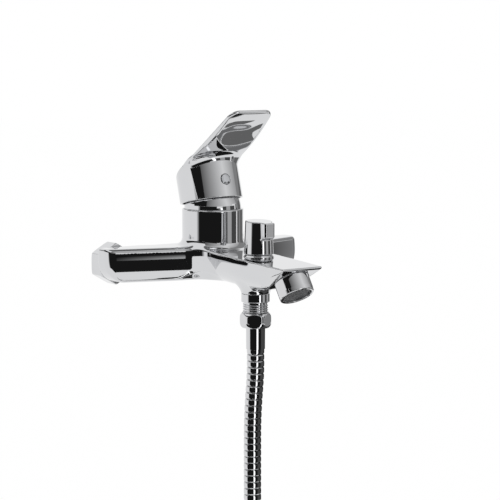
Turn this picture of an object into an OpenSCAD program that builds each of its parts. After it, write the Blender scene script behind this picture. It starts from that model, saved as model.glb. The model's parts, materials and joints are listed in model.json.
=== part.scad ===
// Wall-mounted single-lever bath and shower mixer with its shower hose.
// Frame: the origin lies midway between the two inlets, on the plane of the union nuts' open
// ends. X runs along the inlets, +Y into the wall and +Z up. All sizes are in millimetres.

/* [Inlets] */
// Distance between the two inlet axes
inlet_spacing = 150; // [140:1:160]
// Width of the union nuts across flats
nut_flats = 30; // [28:0.5:36]
// Length of the union nuts
nut_length = 15; // [14:0.5:20]
// Turn of the union nuts about their axes, as shown
nut_turn = 30; // [0:5:60]
// Radius of the union nuts' thread wall
inlet_thread_r = 12.1; // [11.9:0.05:12.6]
// Free thread length at the open end
inlet_thread_length = 7; // [5:0.5:8]
// Thickness of the lip that draws the seat to the wall
nut_lip = 2.6; // [2:0.2:3.2]
// Radius of the seat's neck, which the lip turns on
seat_neck_r = 10.6; // [10:0.1:10.8]
// Radius of the seat's sealing collar
seat_collar_r = 11.6; // [11.2:0.1:11.8]
// Radius of the seat's threaded root in the body
seat_root_r = 9.5; // [9:0.1:10]
// Depth of the seat's root in the body
seat_root_depth = 11; // [8:0.5:12]
// Radius of the waterway through the seat
inlet_bore_r = 7; // [5:0.5:8]
// Thickness of the inlet gaskets
inlet_gasket = 1.8; // [1:0.1:2.2]

/* [Body] */
// Distance of the tower's axis from the inlet plane
tower_setback = 44; // [42:0.5:50]
// Distance of an arm's end from the middle
arm_reach = 94.5; // [90:0.5:98]
// Height of the arms' top face above the inlet axes
arm_top = 14.5; // [13.5:0.5:16]
// Depth of the arms' lower face below the inlet axes
arm_bottom = 13; // [12.5:0.5:15]
// Distance of the arms' front face from the inlet plane at the ends
arm_end_front = 32.5; // [31:0.5:36]
// Distance of the arms' front face from the inlet plane at the root
arm_root_front = 56; // [52:0.5:58]
// Distance from the middle at which the arms' sweep starts
arm_root_x = 20; // [16:1:26]
// Distance of the body's back from the inlet plane between the inlets
arm_back = 19.5; // [17:0.5:22]
// Distance from the middle beyond which the back stands up to the nuts
arm_boss_x = 58; // [52:1:60]
// Radius of the arms' long edges
arm_edge = 3; // [1:0.5:4]
// Swell of the arms' front face
arm_crown = 1.2; // [0:0.2:2]
// Length of the swept lower corner at the arms' ends
end_corner_along = 15; // [8:1:20]
// Height of the swept lower corner at the arms' ends
end_corner_high = 20; // [10:1:21]
// Radius of the upper corner at the arms' ends
end_top_corner = 3.5; // [2:0.5:5]
// Radius of the waterways cast in the arms
waterway_r = 5; // [3.5:0.5:5.5]

/* [Tower] */
// Radius of the tower
tower_r = 25.3; // [25:0.1:27]
// Height of the tower's rim above the inlet axes
tower_top = 44.2; // [43:0.2:48]
// Bevel of the tower's rim
tower_bevel = 1; // [0.4:0.2:1.4]

/* [Spout] */
// Distance of the spout's lip in front of the tower's axis
spout_reach = 125.4; // [122:0.2:140]
// Distance in front of the tower's axis at which the spout's top starts
spout_root = 18; // [14:1:22]
// Height of the spout's top at its root
spout_top_root = 12.5; // [11.5:0.5:13.5]
// Height of the spout's top at its lip
spout_top_lip = 7.2; // [6:0.2:9]
// Half width of the spout at its root
spout_half_root = 20; // [18.5:0.5:22]
// Half width of the spout half way along
spout_half_middle = 20.8; // [19:0.2:22]
// Half width of the spout at its lip
spout_half_lip = 19; // [17:0.1:20]
// Depth of the spout's underside below the inlet axes
spout_bottom = 13.8; // [13:0.2:16]
// Inward lean of the spout's sides over their height, at its root
spout_lean_root = 10; // [0:0.5:11]
// Inward lean of the spout's sides over their height, from half way to the lip
spout_lean = 4; // [0:0.5:8]
// Radius of the spout's upper edges
spout_edge = 1; // [0.5:0.1:2]
// Radius of the spout's lower edges
spout_keel = 6; // [2:0.5:7]

/* [Aerator] */
// Forward tilt of the outlet from straight down
aerator_tilt = 33; // [25:1:38]
// Distance of the outlet's centre in front of the tower's axis
aerator_reach = 119; // [117:0.5:122]
// Depth of the outlet's centre below the inlet axes
aerator_drop = 15.4; // [14:0.2:17]
// Radius of the aerator's shell
aerator_r = 14; // [13.5:0.1:14.6]
// Visible length of the aerator's shell
aerator_length = 14; // [12:0.5:15]
// Radius of the shell's threaded neck
aerator_neck_r = 11.9; // [11.5:0.1:12.5]
// Length of the shell's threaded neck
aerator_neck = 3; // [2.5:0.5:7]
// Wall of the shell round the insert
aerator_wall = 2.6; // [2:0.2:3]
// Depth of the mesh behind the shell's mouth
mesh_recess = 1.6; // [0.8:0.2:3]
// Thickness of the mesh plate
mesh_plate = 1; // [0.6:0.2:1.6]
// Spacing of the mesh's holes
mesh_pitch = 2; // [1.8:0.2:3]
// Width of a bar of the mesh
mesh_bar = 0.6; // [0.4:0.1:0.8]

/* [Lever] */
// Height of the lever's pivot above the inlet axes
pivot_height = 44; // [43.6:0.2:47]
// Outer radius of the lever's cup
cup_r = 26; // [25.5:0.1:27]
// Wall of the lever's cup
cup_wall = 1.9; // [1.5:0.1:2]
// Height of the cup's rim over the pivot at the front
rim_front = 4.4; // [1.5:0.1:5]
// Height of the cup's rim over the pivot at the back
rim_back = 8.2; // [8:0.2:12]
// Height of the lever's top face over the pivot, on the cup's axis
lever_top = 34.9; // [33:0.5:40]
// Rise of the lever's top face to the front
lever_rise = 20; // [14:0.2:24]
// Reach of the lever's tip from the cup's axis
lever_reach = 79; // [70:0.5:95]
// Half width of the lever at its tip
lever_half_tip = 20.6; // [14:0.2:24]
// Radius of the tip's corners
lever_corner = 8; // [3:0.5:12]
// Thickness of the lever's blade at the tip
blade_tip = 3; // [2.4:0.2:5]
// Thickness of the lever's blade where it leaves the cup
blade_root = 11.2; // [7:0.2:14]
// Thickness of the cup's roof
cup_roof = 3.6; // [3:0.2:5]
// Lift of the lever above its closed position, as shown
lever_lift = 16; // [0:1:20]
// Radius of the hub that grips the stem
hub_r = 7.6; // [7:0.1:8.4]
// Height of the hub's lower end over the pivot
hub_bottom = 9.5; // [8.5:0.5:11]
// Height of the clamping screw and its plug over the pivot
screw_height = 18.9; // [16:0.1:20]
// Depth of the hub's socket over the clamping screw
socket_over = 6.3; // [5:0.1:8]
// Radius of the clamping screw
screw_r = 2.5; // [2:0.1:3]
// Radius of the index plug
plug_r = 4.3; // [3.5:0.1:5]
// Gap between the lever's cup and the dome under it
dome_gap = 0.6; // [0.4:0.1:1]
// Wall of the dome
dome_wall = 1.8; // [1.2:0.1:2]
// Radius of the dome's upper opening
dome_opening_r = 19; // [18:0.2:20]

/* [Cartridge] */
// Outer radius of the cartridge housing
cartridge_r = 20; // [19.5:0.1:20.4]
// Wall of the cartridge housing
cartridge_wall = 1.7; // [1.4:0.1:2]
// Height of the chamber's floor above the inlet axes
chamber_floor = 10; // [9:0.5:11]
// Thickness of the seals under the cartridge
seal_height = 1.2; // [0.8:0.1:1.4]
// Thickness of the cartridge's base plate
base_height = 3; // [2.4:0.2:4]
// Thickness of each ceramic disc
disc_height = 4; // [3:0.2:4.4]
// Radius of the fixed ceramic disc
fixed_disc_r = 17; // [16:0.2:18]
// Radius of the moving ceramic disc and its carrier
moving_disc_r = 13.5; // [12:0.1:13.6]
// Height of the disc carrier
carrier_height = 11; // [9:0.5:11.4]
// Outer radius of the swivelling stem guide
guide_r = 12; // [11:0.1:12.4]
// Radius of the guide's flange
guide_flange_r = 17.8; // [17:0.1:18]
// Width of the stem across its flats
stem_width = 8; // [7:0.2:9]
// Reach of the stem's ball below the pivot
ball_reach = 11; // [10:0.2:11.4]
// Radius of the stem's ball
ball_r = 3; // [2.5:0.1:3.2]
// Radius of the pivot pin
pin_r = 2; // [1.5:0.1:2.4]
// Outer radius of the ring nut that clamps the cartridge
ring_nut_r = 22; // [21.5:0.1:22.4]
// Height of the ring nut
ring_nut_height = 4.6; // [3.6:0.2:5]

/* [Diverter] */
// Distance of the diverter's axis in front of the tower's axis
diverter_reach = 66.5; // [64:0.5:70]
// Radius of the knob's foot
knob_foot_r = 11.8; // [11.4:0.1:12.4]
// Radius of the knob's top
knob_top_r = 10.7; // [10.4:0.1:11.6]
// Height of the knob's foot above the inlet axes
knob_foot = 12.6; // [12.4:0.2:14]
// Height of the knob's top above the inlet axes
knob_top = 39; // [36:0.5:42]
// Width of the knob's finger nose
nose_width = 10; // [8:0.5:12]
// Reach of the nose from the knob's axis
nose_reach = 16; // [14:0.5:18]
// Height of the nose's lower end above the inlet axes
nose_bottom = 24.7; // [22:0.5:28]
// Forward slope of the knob's top
knob_slope = 3; // [0:0.5:5]
// Travel of the knob
diverter_travel = 8; // [6:0.5:8]
// Radius of the diverter's stem
diverter_stem_r = 3; // [2.5:0.1:3.4]
// Radius of the bonnet's collar
bonnet_collar_r = 12; // [11.4:0.1:12.4]
// Radius of the bonnet's thread in the spout
bonnet_thread_r = 8.9; // [8.6:0.1:9.4]
// Radius of the bonnet's neck inside the knob
bonnet_neck_r = 7.6; // [7.2:0.1:8]
// Wall of the bonnet's neck
bonnet_wall = 1.4; // [1.2:0.1:1.6]
// Radius of the valve disc
valve_r = 7.4; // [6.8:0.1:7.8]
// Thickness of the valve disc
valve_height = 3; // [2.4:0.2:3.4]
// Wire radius of the return spring
spring_wire_r = 0.5; // [0.4:0.05:0.6]
// Number of turns of the return spring
spring_turns = 5; // [4:1:6]

/* [Shower outlet] */
// Distance of the shower outlet's axis in front of the tower's axis
shower_reach = 62; // [60:0.5:66]
// Radius of the boss under the spout and of the nipple's collar
boss_r = 11.5; // [11.2:0.1:13]
// Depth of the boss's lower face below the inlet axes
boss_bottom = 19.4; // [18:0.2:22]
// Fillet between the boss and the spout
boss_fillet = 7; // [4:0.5:8]
// Height of the nipple's collar
collar_height = 7; // [4:0.5:9]
// Radius of the nipple's outer thread
shower_thread_r = 10.3; // [10.2:0.05:10.4]
// Length of the nipple's outer thread
shower_thread_length = 14.6; // [12:0.2:16]
// Radius of the nipple's root in the boss
nipple_root_r = 8.4; // [7.8:0.1:8.8]
// Radius of the nipple's waterway
nipple_bore_r = 5.5; // [4.5:0.5:6]

/* [Hose fittings] */
// Width of the hose nut across flats
hose_nut_flats = 23; // [22.5:0.5:26]
// Length of the hose nut
hose_nut_length = 12.3; // [11:0.1:16]
// Turn of the hose nut about its axis, as shown
hose_nut_turn = 22; // [0:1:60]
// Thread length left free above the hose nut
thread_showing = 8.4; // [6:0.2:9]
// Thickness of the hose nut's lower lip
hose_nut_lip = 2.2; // [1.6:0.2:2.6]
// Thickness of the hose washers
hose_washer = 2; // [1.6:0.1:2.2]
// Outer radius of the ferrules
ferrule_r = 7.45; // [7.2:0.05:7.6]
// Inner radius of the ferrules
ferrule_bore_r = 5; // [4.6:0.1:5.4]
// Visible length of the ferrules
ferrule_length = 16.3; // [12:0.2:20]
// Wall of the hose tails inside the ferrules
tail_wall = 1; // [0.8:0.1:1.2]
// Largest radius of the cone nut
cone_r = 12.2; // [12:0.1:13]
// Radius of the cone nut's narrow end
cone_narrow_r = 9.2; // [8.8:0.1:10]
// Free thread length in the cone nut
cone_thread_length = 11.5; // [9:0.5:14]

/* [Hose] */
// Radius of the hose over its ribs
hose_r = 7; // [6.8:0.1:7.2]
// Depth of the grooves between the ribs
rib_depth = 0.9; // [0.5:0.1:1.2]
// Radius of the hose's bore
hose_bore_r = 4.5; // [4:0.1:4.8]
// Spacing of the ribs on the hanging stretch
drop_rib_pitch = 5; // [5:0.5:8]
// Spacing of the ribs on the coil
coil_rib_pitch = 7.5; // [7.5:0.5:12]
// Inner radius of the coil, at the middle of the hose
coil_in = 58; // [56:1:64]
// Growth of the coil's radius in one turn
coil_pitch = 22; // [21:0.5:26]
// Number of turns of the coil
coil_turns = 2.2; // [1.5:0.1:2.4]
// Radius of the bend from the hanging stretch into the coil
coil_bend = 58; // [56:1:60]
// Straight run at the coil's outer end
coil_tail = 74; // [60:1:100]

/* [Clearances] */
// Radial clearance of turning and sliding fits
run_fit = 0.06; // [0.02:0.01:0.1]
// Clearance between fixed pieces that fit in each other
seat_fit = 0.1; // [0.05:0.05:0.2]
// Clearance between moving pieces that don't guide each other
free_gap = 0.4; // [0.3:0.05:0.6]

/* [Hidden] */
$fn = 64;

// Stations along the inlets' depth
nut_front = -nut_length;
lip_face = nut_front + nut_lip;
collar_front = lip_face + free_gap;
gasket_front = -inlet_thread_length - inlet_gasket;
body_back = nut_front - free_gap;
thread_relief = 0.6;
// Levels of the cartridge
base_bottom = chamber_floor + seal_height;
fixed_bottom = base_bottom + base_height;
moving_bottom = fixed_bottom + disc_height;
carrier_bottom = moving_bottom + disc_height;
carrier_top = carrier_bottom + carrier_height;
flange_bottom = carrier_top + free_gap;
flange_height = 1.6;
shoulder = tower_top - ring_nut_height - seat_fit;
shoulder_height = 1.8;
guide_top = pivot_height + pin_r + 1.6;
housing_inner_r = cartridge_r - cartridge_wall;
neck_wall = 1.8;
ball_shift = -ball_reach * sin(lever_lift);
disc_shift = ball_shift + ball_reach * sin(20) / 2;
// Levels of the diverter
bonnet_bottom = 4;
bonnet_neck_top = 24;
gland_height = 2.5;
bonnet_seat = spout_top(-diverter_reach);
bonnet_guide = 3;
shoulder_low = bonnet_bottom + bonnet_guide + free_gap;
stem_shoulder = 1.5;
chamber_low = -8.4;
valve_bottom = min(chamber_low + free_gap, bonnet_bottom - diverter_travel - valve_height - free_gap);
knob_cavity_top = bonnet_neck_top + 1.2;
knob_socket_top = knob_top - 5;
cup_inner_r = cup_r - cup_wall;
dome_r = cup_inner_r - dome_gap;
spring_r = bonnet_neck_r - bonnet_wall - spring_wire_r - free_gap;
spring_low = shoulder_low + stem_shoulder + spring_wire_r;
spring_high = bonnet_neck_top - gland_height - spring_wire_r;
// Levels of the shower outlet
collar_bottom = -boss_bottom - collar_height;
nipple_bottom = collar_bottom - shower_thread_length;
hose_nut_top = collar_bottom - thread_showing;
hose_nut_bottom = hose_nut_top - hose_nut_length;
washer_bottom = nipple_bottom - hose_washer;
tail_flange_bottom = hose_nut_bottom + hose_nut_lip + free_gap;
ferrule_bottom = hose_nut_bottom - ferrule_length;
nut_bore_r = shower_thread_r + run_fit;
tail_flange_r = shower_thread_r - 0.8;
nipple_root = 8;
// Far fittings, measured from the hose's end along its axis
far_lip = ferrule_length + free_gap;
cone_start = 3;
far_flange = 1.6;
far_washer_start = far_lip + far_flange;
cone_thread_start = far_washer_start + hose_washer + free_gap;
cone_end = cone_thread_start + cone_thread_length;

// A solid through rings of points, each ring with as many points as the next, closed at its middles
function middle(r) = [for (p = r) 1] * r / len(r);
module loft(rings) {
    n = len(rings[0]);
    m = len(rings);
    o = m * n;
    polyhedron(concat([for (r = rings) each r], [middle(rings[0]), middle(rings[m - 1])]), concat(
        [for (i = [0:n - 1]) [(i + 1) % n, i, o]],
        [for (i = [0:n - 1]) [o - n + i, o - n + (i + 1) % n, o + 1]],
        [for (k = [0:m - 2], i = [0:n - 1]) each let (j = (i + 1) % n)
            [[k * n + i, k * n + j, (k + 1) * n + i], [k * n + j, (k + 1) * n + j, (k + 1) * n + i]]]));
}
// Points of an arc, from angle a to angle b in n steps
function arc(x, y, r, a, b, n) =
    [for (k = [0:n]) let (t = a + (b - a) * k / n) [x + r * cos(t), y + r * sin(t)]];
// A turned piece whose profile is a list of radius and height
module turned(profile) { rotate_extrude() polygon(profile); }
module tube(r, inner, low, high) {
    difference() {
        translate([0, 0, low]) cylinder(r = r, h = high - low);
        translate([0, 0, low - 1]) cylinder(r = inner, h = high - low + 2);
    }
}
module rod(r, low, high) { translate([0, 0, low]) cylinder(r = r, h = high - low); }
// Places for pieces that are drawn on their own axes
module at_tower() { translate([0, -tower_setback, 0]) children(); }
module at_inlet(side) { translate([side * inlet_spacing / 2, 0, 0]) rotate([-90, 0, 0]) children(); }
module at_pivot() { translate([0, -tower_setback, pivot_height]) children(); }
module at_lift() { at_pivot() rotate([-lever_lift, 0, 0]) children(); }
module at_diverter() { translate([0, -tower_setback - diverter_reach, 0]) children(); }
module at_shower() { translate([0, -tower_setback - shower_reach, 0]) children(); }
module at_aerator() {
    translate([0, -tower_setback - aerator_reach, -aerator_drop]) rotate([-aerator_tilt, 0, 0]) children();
}

// Outline of an arm across X, with a swollen front face and a swept lower corner at its end
function arm_front(x) = x <= arm_root_x ? -arm_root_front
    : -arm_root_front + (arm_root_front - arm_end_front) * (x - arm_root_x) / (arm_reach - arm_root_x);
function ease(t) = let (u = min(max(t, 0), 1)) u * u * (3 - 2 * u);
function corner_rise(e, along, high) = e >= along ? 0 : high * (1 - sqrt(1 - pow(1 - e / along, 2)));
function arm_ring(x) =
    let (e = arm_reach - abs(x), front = arm_front(abs(x)),
        back = -arm_back + (arm_back + body_back) * ease((abs(x) - arm_boss_x + 18) / 18),
        top = arm_top - corner_rise(e, end_top_corner, end_top_corner),
        low = -arm_bottom + corner_rise(e, end_corner_along, end_corner_high),
        h = top - low, r = min(arm_edge, 0.4 * h), swell = arm_crown * pow(h / (arm_top + arm_bottom), 2))
    [for (p = concat(
        [for (k = [1:4]) let (t = k / 5) [front - 4 * swell * t * (1 - t), low + r + (h - 2 * r) * t]],
        arc(front + r, top - r, r, 180, 90, 3), arc(back - r, top - r, r, 90, 0, 3),
        arc(back - r, low + r, r, 0, -90, 3), arc(front + r, low + r, r, -90, -180, 3))) [x, p[0], p[1]]];
arm_steps = concat([for (k = [0:7]) arm_reach - end_corner_along * (1 - cos(k * 90 / 7))],
    [arm_boss_x, arm_boss_x - 9, arm_boss_x - 18, arm_root_x]);
arm_stations = concat([for (x = arm_steps) -x], [for (k = [len(arm_steps) - 1:-1:0]) arm_steps[k]]);

// Outline of the spout across Y, at y in front of the tower's axis (y negative)
function spout_t(y) = (-y - spout_root) / (spout_reach - spout_root);
function spout_top(y) = spout_top_root + (spout_top_lip - spout_top_root) * spout_t(y);
function spout_half(y) = let (t = max(spout_t(y), 0)) spout_half_root * (1 - t) * (1 - 2 * t)
    + 4 * spout_half_middle * t * (1 - t) + spout_half_lip * t * (2 * t - 1);
seat_y = -aerator_reach + aerator_length * sin(aerator_tilt);
seat_z = -aerator_drop + aerator_length * cos(aerator_tilt);
function spout_low(y) = max(-spout_bottom, seat_z - tan(aerator_tilt) * (y - seat_y));
function spout_ring(y, draw = 0) =
    let (top = spout_top(y) - draw, low = spout_low(y) + draw, h = top - low, half = spout_half(y) - draw,
        lean = spout_lean_root + (spout_lean - spout_lean_root) * ease(2 * spout_t(y)),
        base = half - lean * h / (spout_top_root + spout_bottom),
        e = min(spout_edge, 0.3 * h), k = min(spout_keel, 0.45 * h))
    [for (p = concat(arc(half - e, top - e, e, 0, 90, 2), arc(e - half, top - e, e, 90, 180, 2),
        arc(k - base, low + k, k, 180, 270, 4), arc(base - k, low + k, k, 270, 360, 4)))
        [p[0], y - tower_setback, p[1]]];
undercut_y = seat_y - (-spout_bottom - seat_z) / tan(aerator_tilt);
spout_stations = concat([for (k = [5:-1:0]) undercut_y - (spout_reach - 1 + undercut_y) * k / 5],
    [for (k = [3:-1:0]) -spout_root + (undercut_y + spout_root) * k / 4], [0]);

module body_casting() {
    color("gainsboro") difference() {
        union() {
            loft([for (x = arm_stations) arm_ring(x)]);
            loft(concat([spout_ring(-spout_reach, 0.5)], [for (y = spout_stations) spout_ring(y)]));
            at_tower() tower_form();
            at_shower() turned(concat([[0, -boss_bottom], [boss_r, -boss_bottom]],
                arc(boss_r + boss_fillet, boss_fillet - boss_bottom, boss_fillet, 180, 90, 8),
                [[boss_r + boss_fillet, 2 - arm_bottom], [0, 2 - arm_bottom]]));
        }
        at_tower() {
            rod(cartridge_r + seat_fit, chamber_floor, tower_top + 1);
            rod(ring_nut_r + seat_fit, shoulder, tower_top + 1);
        }
        waterways();
        at_diverter() {
            rod(bonnet_thread_r + seat_fit, chamber_low, bonnet_seat + 6);
            rod(bonnet_collar_r + seat_fit, bonnet_seat - 0.6, bonnet_seat + 6);
        }
        at_shower() {
            rod(nipple_root_r + seat_fit, -boss_bottom - 1, nipple_root - boss_bottom);
            rod(nipple_bore_r, -boss_bottom, chamber_low + 1);
        }
        at_aerator() rod(aerator_neck_r + seat_fit, aerator_length - 1, aerator_length + aerator_neck + 1);
    }
}
// The tower with its bevelled rim
module tower_form() {
    turned([[0, 0], [tower_r, 0], [tower_r, tower_top - tower_bevel], [tower_r - tower_bevel, tower_top],
        [0, tower_top]]);
}
// Waterways from the inlets to the cartridge, and from the cartridge to the diverter and the outlet
module waterways() {
    for (side = [-1, 1]) {
        at_inlet(side) rod(seat_root_r + seat_fit, body_back - seat_root_depth, body_back + 1);
        start = [side * inlet_spacing / 2, body_back - seat_root_depth + waterway_r, 0];
        end = [side * 9, -tower_setback + 3, 0];
        run = end - start;
        translate(start) rotate([0, 90, atan2(run[1], run[0])]) cylinder(r = waterway_r, h = norm(run));
        translate(end) cylinder(r = 4, h = chamber_floor + 1);
    }
    translate([0, -tower_setback - 9, -2]) cylinder(r = 4, h = chamber_floor + 3);
    translate([0, -tower_setback - 7, -2]) rotate([90, 0, 0]) cylinder(r = waterway_r, h = diverter_reach - 7);
    at_diverter() translate([0, 0, -2]) rotate([90, 0, 0])
        cylinder(r = waterway_r, h = aerator_reach - diverter_reach - aerator_length * sin(aerator_tilt));
}

module inlet_seat(side) {
    color("peru") at_inlet(side) difference() {
        union() {
            rod(seat_root_r, body_back - seat_root_depth + seat_fit, collar_front);
            rod(seat_neck_r, body_back, collar_front);
            rod(seat_collar_r, collar_front, gasket_front);
        }
        rod(inlet_bore_r, body_back - seat_root_depth - 1, 1);
    }
}
module inlet_seat_left() { inlet_seat(-1); }
module inlet_seat_right() { inlet_seat(1); }

module inlet_gasket(side) {
    color("dimgray") at_inlet(side) tube(seat_collar_r, inlet_bore_r, gasket_front, -inlet_thread_length);
}
module inlet_gasket_left() { inlet_gasket(-1); }
module inlet_gasket_right() { inlet_gasket(1); }

// A six-sided nut whose corners are turned down at both ends
module hex_prism(flats, low, high, bevel, turn = 0) {
    corner = flats / sqrt(3);
    intersection() {
        rotate([0, 0, turn]) translate([0, 0, low]) cylinder(r = corner, h = high - low, $fn = 6);
        turned([[0, low], [corner - bevel, low], [corner, low + bevel * 0.6], [corner, high - bevel * 0.6],
            [corner - bevel, high], [0, high]]);
    }
}
module union_nut(side) {
    color("silver") at_inlet(side) difference() {
        hex_prism(nut_flats, nut_front, 0, 1.6, nut_turn);
        rod(seat_neck_r + run_fit, nut_front - 1, lip_face + 1);
        rod(inlet_thread_r + thread_relief, lip_face, -inlet_thread_length);
        rod(inlet_thread_r, -inlet_thread_length - 1, 1);
    }
}
module union_nut_left() { union_nut(-1); }
module union_nut_right() { union_nut(1); }

// Three round seals between the waterways and the cartridge's base
module cartridge_seals() {
    color("black") at_tower() for (p = [[-9, 3], [9, 3], [0, -9]])
        translate([p[0], p[1], 0]) tube(5.6, 4, chamber_floor, base_bottom);
}
module cartridge_base() {
    color("white") at_tower() difference() {
        rod(housing_inner_r - seat_fit, base_bottom, fixed_bottom);
        for (p = [[-9, 3], [9, 3], [0, -9]]) translate([p[0], p[1], 0]) rod(3.6, base_bottom - 1, fixed_bottom + 1);
    }
}
module fixed_disc() {
    color("ivory") at_tower() difference() {
        rod(fixed_disc_r, fixed_bottom, moving_bottom);
        for (p = [[-9, 3], [9, 3], [0, -9]]) translate([p[0], p[1], 0]) rod(3.2, fixed_bottom - 1, moving_bottom + 1);
    }
}
module moving_disc() {
    color("mintcream") at_tower() translate([0, disc_shift, 0]) difference() {
        rod(moving_disc_r, moving_bottom, carrier_bottom);
        rod(moving_disc_r - 6, moving_bottom - 1, moving_bottom + disc_height / 2);
    }
}
// The carrier takes the stem's ball in a round socket that is open at the top
module disc_carrier() {
    color("gray") at_tower() difference() {
        translate([0, disc_shift, 0]) rod(moving_disc_r, carrier_bottom, carrier_top);
        translate([0, ball_shift, 0]) rod(ball_r + 0.3, pivot_height - ball_reach - ball_r - 0.6, carrier_top + 1);
    }
}
module cartridge_housing() {
    color("whitesmoke") at_tower() difference() {
        union() {
            rod(cartridge_r, base_bottom, shoulder);
            rod(guide_r + run_fit + neck_wall, shoulder - 1, guide_top - 0.6);
        }
        rod(housing_inner_r, base_bottom - 1, shoulder - shoulder_height);
        rod(guide_r + run_fit, shoulder - shoulder_height - 1, guide_top + 1);
    }
}
// The guide swivels in the housing's neck, holds the pivot pin and steers the carrier between two legs
module stem_guide() {
    leg = moving_disc_r + 0.3;
    color("lightsteelblue") at_tower() difference() {
        union() {
            rod(guide_flange_r, flange_bottom, flange_bottom + flange_height);
            rod(guide_r, flange_bottom, guide_top);
            intersection() {
                rod(guide_flange_r, carrier_bottom + 2, flange_bottom + flange_height);
                for (side = [-1, 1]) translate([side < 0 ? -leg - 9 : leg, -6, carrier_bottom + 2]) cube([9, 12, 20]);
            }
        }
        translate([-stem_width / 2 - free_gap, -guide_r * 0.72, flange_bottom - 1])
            cube([stem_width + 2 * free_gap, guide_r * 1.44, 30]);
        translate([-guide_r - 1, 0, pivot_height]) rotate([0, 90, 0]) cylinder(r = pin_r + run_fit, h = 2 * guide_r + 2);
    }
}
module pivot_pin() {
    color("slategray") at_pivot() translate([-guide_r + 0.6, 0, 0]) rotate([0, 90, 0])
        cylinder(r = pin_r, h = 2 * guide_r - 1.2);
}
// The stem tilts on the pin; its square end is gripped by the lever and its ball shifts the carrier
module lever_stem() {
    color("darkgray") at_lift() difference() {
        union() {
            translate([-stem_width / 2, -stem_width / 2, 0]) cube([stem_width, stem_width, screw_height + 6]);
            rod(stem_width / 2, -4, 1);
            rod(ball_r * 0.7, -ball_reach, 0);
            translate([0, 0, -ball_reach]) sphere(r = ball_r);
        }
        translate([-stem_width, 0, 0]) rotate([0, 90, 0]) cylinder(r = pin_r + run_fit, h = 2 * stem_width);
    }
}
module ring_nut() {
    color("goldenrod") at_tower() difference() {
        rod(ring_nut_r, shoulder, tower_top - seat_fit);
        rod(guide_r + run_fit + neck_wall + 0.5, shoulder - 1, tower_top + 1);
    }
}
// A shell of a sphere about the lever's pivot, so the cup can tilt round it
module dome_ring() {
    color("silver") at_pivot() difference() {
        sphere(r = dome_r, $fn = 96);
        sphere(r = dome_r - dome_wall, $fn = 96);
        translate([0, 0, -50 + tower_top - pivot_height]) cube([100, 100, 100], center = true);
        rod(dome_opening_r, 0, 60);
    }
}

// Everything below the lever's sloping top face, lowered by drop
module under_lever_top(drop) {
    translate([0, 0, lever_top - drop]) rotate([-lever_rise, 0, 0]) translate([-100, -100, -200]) cube(200);
}
rim_slope = atan((rim_back - rim_front) / (2 * cup_r));
module over_rim() {
    translate([0, 0, (rim_front + rim_back) / 2]) rotate([rim_slope, 0, 0]) translate([-100, -100, 0]) cube(200);
}
// Height of the blade's underside at a distance r from the cup's axis
function blade_under(r) = let (t = min(max((lever_reach - r) / (lever_reach - cup_r), 0), 1))
    lever_top + tan(lever_rise) * r - blade_tip - (blade_root - blade_tip) * pow(t, 1.7);
// The blade: its outline from above, over an underside that flares out from the cup
module lever_blade() {
    root = cup_r - 0.2;
    top_skin = 0.1;
    far = lever_reach + lever_corner;
    intersection() {
        linear_extrude(height = 100) polygon(concat([[root, 0]],
            arc(lever_half_tip - lever_corner, lever_corner - lever_reach, lever_corner, 0, -90, 6),
            arc(lever_corner - lever_half_tip, lever_corner - lever_reach, lever_corner, -90, -180, 6), [[-root, 0]]));
        turned(concat([[0, blade_under(cup_r)]],
            [for (k = [0:10]) let (r = cup_r + (lever_reach - cup_r) * k / 10) [r, blade_under(r)]],
            [[far, blade_under(far)], [far, 100], [0, 100]]));
        under_lever_top(-top_skin);
    }
}
module lever_handle() {
    socket = stem_width / 2 + seat_fit;
    color("gainsboro") at_lift() difference() {
        union() {
            difference() {
                union() {
                    intersection() {
                        rod(cup_r, -5, lever_top + 40);
                        under_lever_top(0);
                        over_rim();
                    }
                    lever_blade();
                }
                intersection() {
                    rod(cup_inner_r, -6, lever_top + 40);
                    under_lever_top(cup_roof);
                }
            }
            intersection() {
                rod(hub_r, hub_bottom, lever_top + 10);
                under_lever_top(1);
            }
        }
        translate([-socket, -socket, hub_bottom - 1]) cube([2 * socket, 2 * socket, screw_height + socket_over + 1 - hub_bottom]);
        translate([0, 0, screw_height]) rotate([90, 0, 0]) {
            rod(screw_r + seat_fit, 0, hub_r + 1);
            rod(plug_r + seat_fit, cup_inner_r - 2, cup_r + 2);
        }
    }
}
module clamp_screw() {
    color("dimgray") at_lift() translate([0, 0, screw_height]) rotate([90, 0, 0])
        rod(screw_r, stem_width / 2, hub_r - 0.4);
}
module index_plug() {
    color("lightsteelblue") at_lift() translate([0, 0, screw_height]) rotate([90, 0, 0])
        turned([[0, cup_inner_r - 0.6], [plug_r, cup_inner_r - 0.6], [plug_r, cup_r - 0.2], [plug_r - 0.7, cup_r + 0.4],
            [0, cup_r + 0.6]]);
}

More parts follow.
